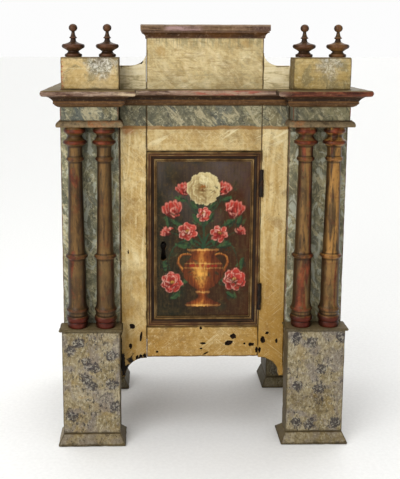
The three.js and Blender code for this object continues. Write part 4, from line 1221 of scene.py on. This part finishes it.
# Each stem's width and the points that it is drawn through
STEMS = (
    (2.2, (0, 0), (20, 42), (96, 14), (68, -62)), (2.2, (0, 0), (6, 62), (72, 40), (64, 74)),
    (1.8, (0, 30), (4, 100), (40, 80), (38, 124)), (1.4, (0, 0), (30, 6), (50, 40), (78, 36)),
)
# Each leaf's place, length and turn in degrees
LEAVES = (
    (44, 8, 32, 12), (14, 66, 28, 55), (56, 58, 30, 30), (78, 62, 26, 80), (20, 96, 24, 40), (50, 110, 24, 20),
    (46, -74, 26, -20), (84, -34, 26, 80), (60, -104, 26, -35), (24, 18, 26, 80),
)


def paint_picture(canvas):
    """A tree of flowers that grows out of an urn, a traditional design, alike left and right."""
    paint_ground(canvas)
    rim = URN_BOTTOM + URN_HEIGHT
    green = "26402a"
    for sign in (-1, 1):
        for width, *points in STEMS:
            canvas.stem([(sign * x, rim + z) for x, z in points], width, green)
    canvas.stem([(0, rim), (5, rim + 50), (-5, rim + 80), (0, rim + 118)], 2.4, green)
    for sign in (-1, 1):
        for x, z, length, turn in LEAVES:
            leaf(canvas, sign * x, rim + z, length, turn if sign > 0 else 180 - turn)
        blossom(canvas, sign * 68, rim - 72 + sign * 3, 25 + sign)
        blossom(canvas, sign * 34, rim + 36 - sign * 3, 20 - sign, 6, "67120d", "c54b3c")
        for x, z, size, lean in ((64, 70, 40, 12), (40, 120, 30, 16), (74, 34, 20, 60)):
            tulip(canvas, sign * x, rim + z, size, 90 - sign * lean)
    blossom(canvas, 0, rim + 76, 16, 6, "67120d", "c04235")
    blossom(canvas, 0, rim + 132, 36, 12, "7d6034", "cdbb86", "96602a", "dccfa2")
    urn(canvas, URN_BOTTOM)
    for _ in range(26):
        x, z = canvas.random.uniform(-85, 85), canvas.random.uniform(rim - 110, rim + 150)
        canvas.daub(x, z, 9, ("22331f", "2b2a18", "4a4328"), 3, 5, 1.6)
    canvas.lay(0.14 * np.clip(canvas.cloud(2, 16) + 0.1, 0, 1), "3b2a17", 0.1)
    canvas.lay(0.6 * np.clip(canvas.cloud(7) + canvas.cloud(2.5) - 1.2, 0, 1), "463218", 0)


KEYHOLE_X = -86 * MM
KEYHOLE_TOP = 440 * MM
KEYHOLE_HEIGHT = 44 * MM
KEYHOLE_RADIUS = 6.5 * MM
KEYHOLE_WAIST = 4 * MM


def keyhole_outline():
    """A round head over a waist, spreading again at the foot."""
    bottom = KEYHOLE_TOP - KEYHOLE_HEIGHT
    head = KEYHOLE_TOP - 1.6 * KEYHOLE_RADIUS
    waist = head - 1.5 * KEYHOLE_RADIUS
    foot, tip = bottom + KEYHOLE_WAIST, bottom - KEYHOLE_WAIST
    outline = Outline(KEYHOLE_X - KEYHOLE_WAIST, waist).line(KEYHOLE_X - KEYHOLE_RADIUS, foot)
    outline.curve(KEYHOLE_X, tip, KEYHOLE_X + KEYHOLE_RADIUS, foot, 10)
    outline.line(KEYHOLE_X + KEYHOLE_WAIST, waist)
    outline.arc(KEYHOLE_X, head, KEYHOLE_RADIUS, KEYHOLE_TOP - head, -50, 230, 24)
    return np.array(outline.fine(1.0 * MM, True))


def inside_outline(x, z, outline):
    """Whether each point lies inside a closed outline, by counting the sides to its right."""
    within = np.zeros(x.shape, bool)
    for start, end in zip(outline, np.roll(outline, -1, axis=0)):
        spans = (start[1] > z) != (end[1] > z)
        rise = end[1] - start[1] if abs(end[1] - start[1]) > 1e-12 else 1e-12
        crossing = start[0] + (end[0] - start[0]) * (z - start[1]) / rise
        within ^= spans & (x < crossing)
    return within


def door_panel(material, wood):
    """The panel, whose front is a fine grid that carries the picture, with the keyhole through it."""
    low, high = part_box("door_panel")
    count_x = round((high.x - low.x) / CANVAS_CELL)
    count_z = round((high.z - low.z) / CANVAS_CELL)
    across = np.linspace(low.x, high.x, count_x + 1)
    up = np.linspace(low.z, high.z, count_z + 1)
    middle_x, middle_z = (low.x + high.x) / 2, (low.z + high.z) / 2
    canvas = Canvas((across - middle_x) / MM, (up - middle_z) / MM, 8)
    paint_picture(canvas)
    outline = keyhole_outline()
    bm = bmesh.new()
    colours = bm.verts.layers.float_color.new("picture")
    grid = []
    for i, x in enumerate(across):
        column = []
        for j, z in enumerate(up):
            vertex = bm.verts.new((x, low.y + PAINT_THICK * (1 - canvas.thick[i, j]), z))
            vertex[colours] = (*canvas.colour[i, j], 1)
            column.append(vertex)
        grid.append(column)
    centre_x, centre_z = np.meshgrid((across[1:] + across[:-1]) / 2, (up[1:] + up[:-1]) / 2, indexing="ij")
    hole = inside_outline(centre_x, centre_z, outline)
    for i in range(count_x):
        for j in range(count_z):
            if not hole[i, j]:
                bm.faces.new((grid[i][j], grid[i + 1][j], grid[i + 1][j + 1], grid[i][j + 1]))
    loose = [vertex for vertex in bm.verts if not vertex.link_faces]
    bmesh.ops.delete(bm, geom=loose, context="VERTS")
    border = [edge for edge in bm.edges if edge.is_boundary]
    for vertex in {vertex for edge in border for vertex in edge.verts}:
        away = np.hypot(outline[:, 0] - vertex.co.x, outline[:, 1] - vertex.co.z)
        if away.min() < 4 * CANVAS_CELL:
            vertex.co.x, vertex.co.z = outline[away.argmin()]
    front = bm.faces[:]
    bmesh.ops.solidify(bm, geom=front, thickness=0)
    behind = set(bm.verts) - {vertex for face in front for vertex in face.verts}
    for vertex in behind:
        vertex.co.y = high.y
    for face in bm.faces:
        face.material_index = int(any(vertex in behind for vertex in face.verts))
    bmesh.ops.recalc_face_normals(bm, faces=bm.faces[:])
    panel = as_piece("door_panel_painted", bm, material, "door_panel", sharp=50)
    panel.data.materials.append(wood)


# Holes, gouges and nails

GOUGE_DEPTH = 5 * MM


def gouge(board, holes, material):
    """Cuts ragged holes in a board's face, each from a row of HOLES."""
    bm = bmesh.new()
    for index, (x, z, width, height, turn) in enumerate(holes):
        made = bmesh.ops.create_icosphere(bm, subdivisions=3, radius=1.0)["verts"]
        for vertex in made:
            vertex.co *= 1 + 0.35 * turbulence(vertex.co, 0.8, index * 1.3)
            vertex.co = Vector((vertex.co.x * width * MM / 2, vertex.co.y * GOUGE_DEPTH, vertex.co.z * height * MM / 2))
        bmesh.ops.rotate(bm, verts=made, matrix=Matrix.Rotation(math.radians(turn), 3, "Y"))
        bmesh.ops.translate(bm, verts=made, vec=(x * MM, FACADE_FACE, z * MM))
    for face_made in bm.faces:
        face_made.material_index = 1
    mesh = bpy.data.meshes.new("cutter")
    bm.to_mesh(mesh)
    bm.free()
    cutter = add_object("cutter", mesh)
    board.data.materials.append(material)
    mesh.materials.append(material)
    mesh.materials.append(material)
    cut = board.modifiers.new("holes", "BOOLEAN")
    cut.operation = "DIFFERENCE"
    cut.solver = "EXACT"
    cut.use_self = True
    cut.material_mode = "INDEX"
    cut.object = cutter
    bpy.context.view_layer.update()
    done = bpy.data.meshes.new_from_object(board.evaluated_get(bpy.context.evaluated_depsgraph_get()))
    board.modifiers.clear()
    board.data = done
    bpy.data.objects.remove(cutter)


ROOF_EASE = 0.6 * MM
NAIL_RADIUS = 2.3 * MM
NAIL_HEIGHTS = [0.24 + 0.073 * k for k in range(8)]
# How deep each row of nails in the case's sides stands, and how far it is raised
NAIL_ROWS = ((LOW_CASE.y + 9 * MM, 0), (CASE_BACK - 6 * MM, 12 * MM))


def nails(name, places, normal, material):
    """Forged nail heads, nearly flush with the board that they hold, as one piece."""
    bm = bmesh.new()
    turn = Vector((0, 0, 1)).rotation_difference(Vector(normal)).to_matrix()
    shuffle = random.Random(5)
    for place in places:
        rings = []
        for share, rise in ((0.55, -1.2 * MM), (1.0, -0.3 * MM), (0.92, 0.1 * MM), (0.5, 0.35 * MM)):
            ring = []
            for k in range(10):
                angle = 2 * math.pi * k / 10
                reach = NAIL_RADIUS * share * shuffle.uniform(0.88, 1.06)
                at = Vector((math.cos(angle) * reach, math.sin(angle) * reach, rise))
                ring.append(bm.verts.new(Vector(place) + turn @ at))
            rings.append(ring)
        skin(bm, rings)
    as_piece(name, bm, material, None, "iron", "cabinet", sharp=50)


# The whole object

def plan(*corners):
    """Corners seen from above, or on the front for the door."""
    return [Vector(corner) for corner in corners]


def build_pedestals():
    plain = sponged_paint("sponged_paint")
    dusty = sponged_paint("sponged_dusty", 0.35)
    # The rear legs get a darker copy of the paint: painted shade.
    rear = sponged_paint("sponged_rear", 0.65, "433d2c")
    kinds = {"pedestal": plain, "pedestal_cap": dusty, "pedestal_foot": dusty, "rear_leg": rear, "rear_foot": rear}
    for side in SIDES:
        for k, (kind, paint) in enumerate(kinds.items()):
            wear = (1.8 * MM, 2.6 * MM) if "foot" in kind else ()
            worn_board(f"{kind}_{side}", paint, 3.1 * k + SIGN[side], *wear)


# Worm holes and gouges in the front, in millimetres: across, up, width, height and turn in degrees
HOLES = {
    "stile_board_left": (
        (-162, 418, 3, 9, 0), (-154, 251, 13, 11, 30), (-135, 228, 5.5, 23, 6), (-158, 206, 7.5, 12, -10),
        (-144, 180, 6, 11, 20), (-136, 182, 7, 10, 0), (-128, 184, 8, 8, 0),
    ),
    "bottom_rail": (
        (-4, 246, 6, 7, 0), (1, 211, 13, 5, 0), (-3, 199, 6.5, 3.6, 0), (7, 188, 14, 3.2, -25), (67, 227, 15, 12, 0),
        (57, 212, 17, 12, -20), (92, 210, 5.5, 4.4, 0), (107, 208, 13, 9, 0), (-100, 192, 6, 5, 0),
        (119, 196, 6, 14, 0),
    ),
    "stile_board_right": (
        (133, 218, 11, 16, 0), (142, 234, 8, 6, -30), (163, 216, 5.5, 11, 0), (126, 195, 6, 13, 0),
    ),
}


def build_front_boards():
    """Each row is a board or a pair, its paint, its seed and how deep its edges are nicked in millimetres."""
    marbled = marbled_paint()
    banded = cream_paint("cream_banded", "z", True)
    rail = cream_paint("cream_rail", "x", False, 4.0)
    head = cream_paint("cream_head", "both", True, 2.0)
    pairs = (
        ("pilaster_board", marbled, 0, 1.0), ("frieze_block", marbled, 5, 1.0), ("attic_block", attic_paint(), 8, 1.6),
        ("stile_board", banded, 11, 1.4),
    )
    rows = [(f"{kind}_{side}", paint, seed + SIGN[side], nick) for side in SIDES for kind, paint, seed, nick in pairs]
    rows += [("bottom_rail", rail, 14, 1.4), ("head_panel", head, 15, 1.2)]
    boards = {node: worn_board(node, paint, seed, nick * MM) for node, paint, seed, nick in rows}
    hollow = dark_hollow()
    for node, holes in HOLES.items():
        gouge(boards[node], holes, hollow)


def build_mouldings():
    cornice, architrave, crown = cornice_paint(), architrave_paint(), crown_paint()
    section = cornice_section()
    around = plan((0, FACADE_FACE), (FLANK_INNER, FACADE_FACE), (FLANK_INNER, FRIEZE_FACE),
                  (CASE_OUTER, FRIEZE_FACE), (CASE_OUTER, CASE_BACK))
    wrap = plan((FLANK_INNER, FACADE_FACE - FIT), (FLANK_INNER, FRIEZE_FACE), (CASE_OUTER, FRIEZE_FACE),
                (CASE_OUTER, HIGH_BLOCK.y))
    for side in SIDES:
        stand, seed = STAND[side], SIGN[side]
        moulding(f"cornice_front_{side}", section, around, (1, 2), cornice, stand, seed)
        moulding(f"cornice_side_{side}", section, around, (3,), cornice, stand, seed)
        moulding(f"architrave_moulding_{side}", architrave_section(), wrap, (0, 1, 2), architrave, stand, 4 + seed)
    centre = plan((-FLANK_INNER, FRIEZE_FACE), (-FLANK_INNER, FACADE_FACE), (FLANK_INNER, FACADE_FACE),
                  (FLANK_INNER, FRIEZE_FACE))
    moulding("cornice_centre", section, centre, (1,), cornice, upright, 7)
    crest = plan((-CREST_HALF, CREST_BACK), (-CREST_HALF, FACADE_FACE), (CREST_HALF, FACADE_FACE),
                 (CREST_HALF, CREST_BACK))
    moulding("crown_moulding", crown_section(), crest, (0, 1, 2), crown, upright, 0)
    worn_board("crown_board", crown, 21, 1.4 * MM)


def build_turned():
    column = bronzed_paint("bronzed_paint")
    finial = bronzed_paint("bronzed_dark", True)
    for side in SIDES:
        for k, place in enumerate(PLACES):
            seed = 2.3 * k + SIGN[side]
            turned(f"column_{place}_{side}", column_outline(), column, seed)
            turned(f"finial_{place}_{side}", finial_outline(), finial, 9 + seed, 56)


def build_case():
    """The plain wood. Each row is a board or a pair, the way that its grain runs, and its seed."""
    woods = {"x": bare_wood("bare_wood_level", "x"), "y": bare_wood("bare_wood_deep", "y"),
             "z": bare_wood("bare_wood_upright", "z")}
    pairs = (("side_wall", "z", 0), ("crest_side", "y", 2), ("chamber_side", "z", 4))
    rows = [(f"{kind}_{side}", along, seed + SIGN[side]) for side in SIDES for kind, along, seed in pairs]
    rows += [("back_board", "z", 6), ("case_bottom", "x", 7), ("crest_back", "x", 9), ("chamber_floor", "y", 10),
             ("chamber_ceiling", "y", 11)]
    for node, along, seed in rows:
        worn_board(node, woods[along], seed)
    worn_board("roof_board", woods["x"], 8, ease=ROOF_EASE)


def build_door():
    paints = [door_frame_paint("door_frame_upright", "z"), door_frame_paint("door_frame_level", "x")]
    low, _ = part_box("door_stile_latch")
    _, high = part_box("door_stile_hinge")
    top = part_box("door_rail_top")[1].z
    corners = plan((low.x, low.z), (low.x, top), (high.x, top), (high.x, low.z))

    def stand(ground, height):
        return (ground.x, high.y - height, ground.y)

    section = door_frame_section()
    for side, node in enumerate(("door_stile_latch", "door_rail_top", "door_stile_hinge", "door_rail_bottom")):
        moulding(node, section, corners, (side,), paints[side % 2], stand, 2 * side, True, 1.0 * MM, 0.5 * MM)
    door_panel(picture_paint(), bare_wood("bare_wood_door", "z"))


def build_iron():
    metal = iron()
    for node, slot in SLOT.items():
        if slot == "iron":
            frame["nodes"][node].data.materials.clear()
            frame["nodes"][node].data.materials.append(metal)
    for side in SIDES:
        places = [(SIGN[side] * CASE_OUTER, y, z + rise) for y, rise in NAIL_ROWS for z in NAIL_HEIGHTS]
        nails(f"side_nails_{side}", places, (SIGN[side], 0, 0), metal)


# The camera, the lights and the floor

CAMERA_PLACE = (-0.1175, -1.8242, 0.8571)
CAMERA_YAW = -0.0240
CAMERA_PITCH = 0.1615
CAMERA_ROLL = 0.0020
CAMERA_LENS = 60.73
CAMERA_SENSOR = 36
CAMERA_SHIFT = (0.067, -0.13)
HORIZON = 0.98
FLOOR_HALF = 60.0


def add_camera():
    data = bpy.data.cameras.new("camera")
    data.lens = CAMERA_LENS
    data.sensor_width = CAMERA_SENSOR
    data.shift_x, data.shift_y = CAMERA_SHIFT
    camera = add_object("camera", data)
    turn = Matrix.Rotation(CAMERA_YAW, 4, "Z") @ Matrix.Rotation(math.pi / 2 - CAMERA_PITCH, 4, "X")
    camera.matrix_world = Matrix.Translation(CAMERA_PLACE) @ turn @ Matrix.Rotation(CAMERA_ROLL, 4, "Z")
    SCENE.camera = camera


def add_softbox(name, place, aim, size, power):
    data = bpy.data.lights.new(name, "AREA")
    data.shape = "SQUARE"
    data.size = size
    data.energy = power
    lamp = add_object(name, data)
    lamp.location = place
    lamp.rotation_euler = (Vector(aim) - Vector(place)).to_track_quat("-Z", "Y").to_euler()


def add_sky_light(name, direction, spread, strength):
    """A wide, soft lamp that is as strong on the far floor as on the object."""
    data = bpy.data.lights.new(name, "SUN")
    data.angle = math.radians(spread)
    data.energy = strength
    add_object(name, data).rotation_euler = Vector(direction).to_track_quat("Z", "Y").to_euler()


def add_world():
    """White near the horizon, greyer overhead and on the right of the front."""
    world = bpy.data.worlds.new("studio")
    SCENE.world = world
    world.use_nodes = True
    nodes = Nodes(world.node_tree)
    way = nodes.node("ShaderNodeTexCoord").outputs["Generated"]
    height = nodes.field("ShaderNodeSeparateXYZ", {0: way}, "Z")
    lean = nodes.field("ShaderNodeVectorMath", {0: way, 1: (0.85, -0.5, 0)}, "Value", operation="DOT_PRODUCT")
    strength = nodes.between(height, 0.2, 0.5, HORIZON, 0.15) * nodes.between(lean, 0.3, 0.9, 1.0, 0.35)
    background = world.node_tree.nodes["Background"]
    nodes.feed(background.inputs["Strength"], strength)
    nodes.feed(background.inputs["Color"], (1, 1, 1, 1))


def add_floor():
    p = Paint("floor")
    fine = p.noise(120.0, 3.0, 0.6)
    p.colour = p.mix(p.between(fine, 0.3, 0.7), rgb("f0f0ee"), "f6f6f4")
    mesh = bpy.data.meshes.new("floor")
    corners = [(x * FLOOR_HALF, y * FLOOR_HALF, 0) for x, y in ((-1, -1), (1, -1), (1, 1), (-1, 1))]
    mesh.from_pydata(corners, [], [(0, 1, 2, 3)])
    mesh.materials.append(p.finish(fine, 0.6, 0.75, fine, 0.03, 0.2 * MM))
    add_object("floor", mesh)


add_camera()
add_world()
add_softbox("key", place=(-1.25, -1.95, 1.4), aim=(0, 0, 0.45), size=1.5, power=34)
add_sky_light("top", direction=(-0.1, 0.1, 1), spread=90, strength=2.3)
add_sky_light("back", direction=(0.5, 0.8, 0.4), spread=60, strength=0.8)
add_floor()
SCENE.view_settings.view_transform = "Standard"

build_pedestals()
build_front_boards()
build_mouldings()
build_turned()
build_case()
build_door()
build_iron()
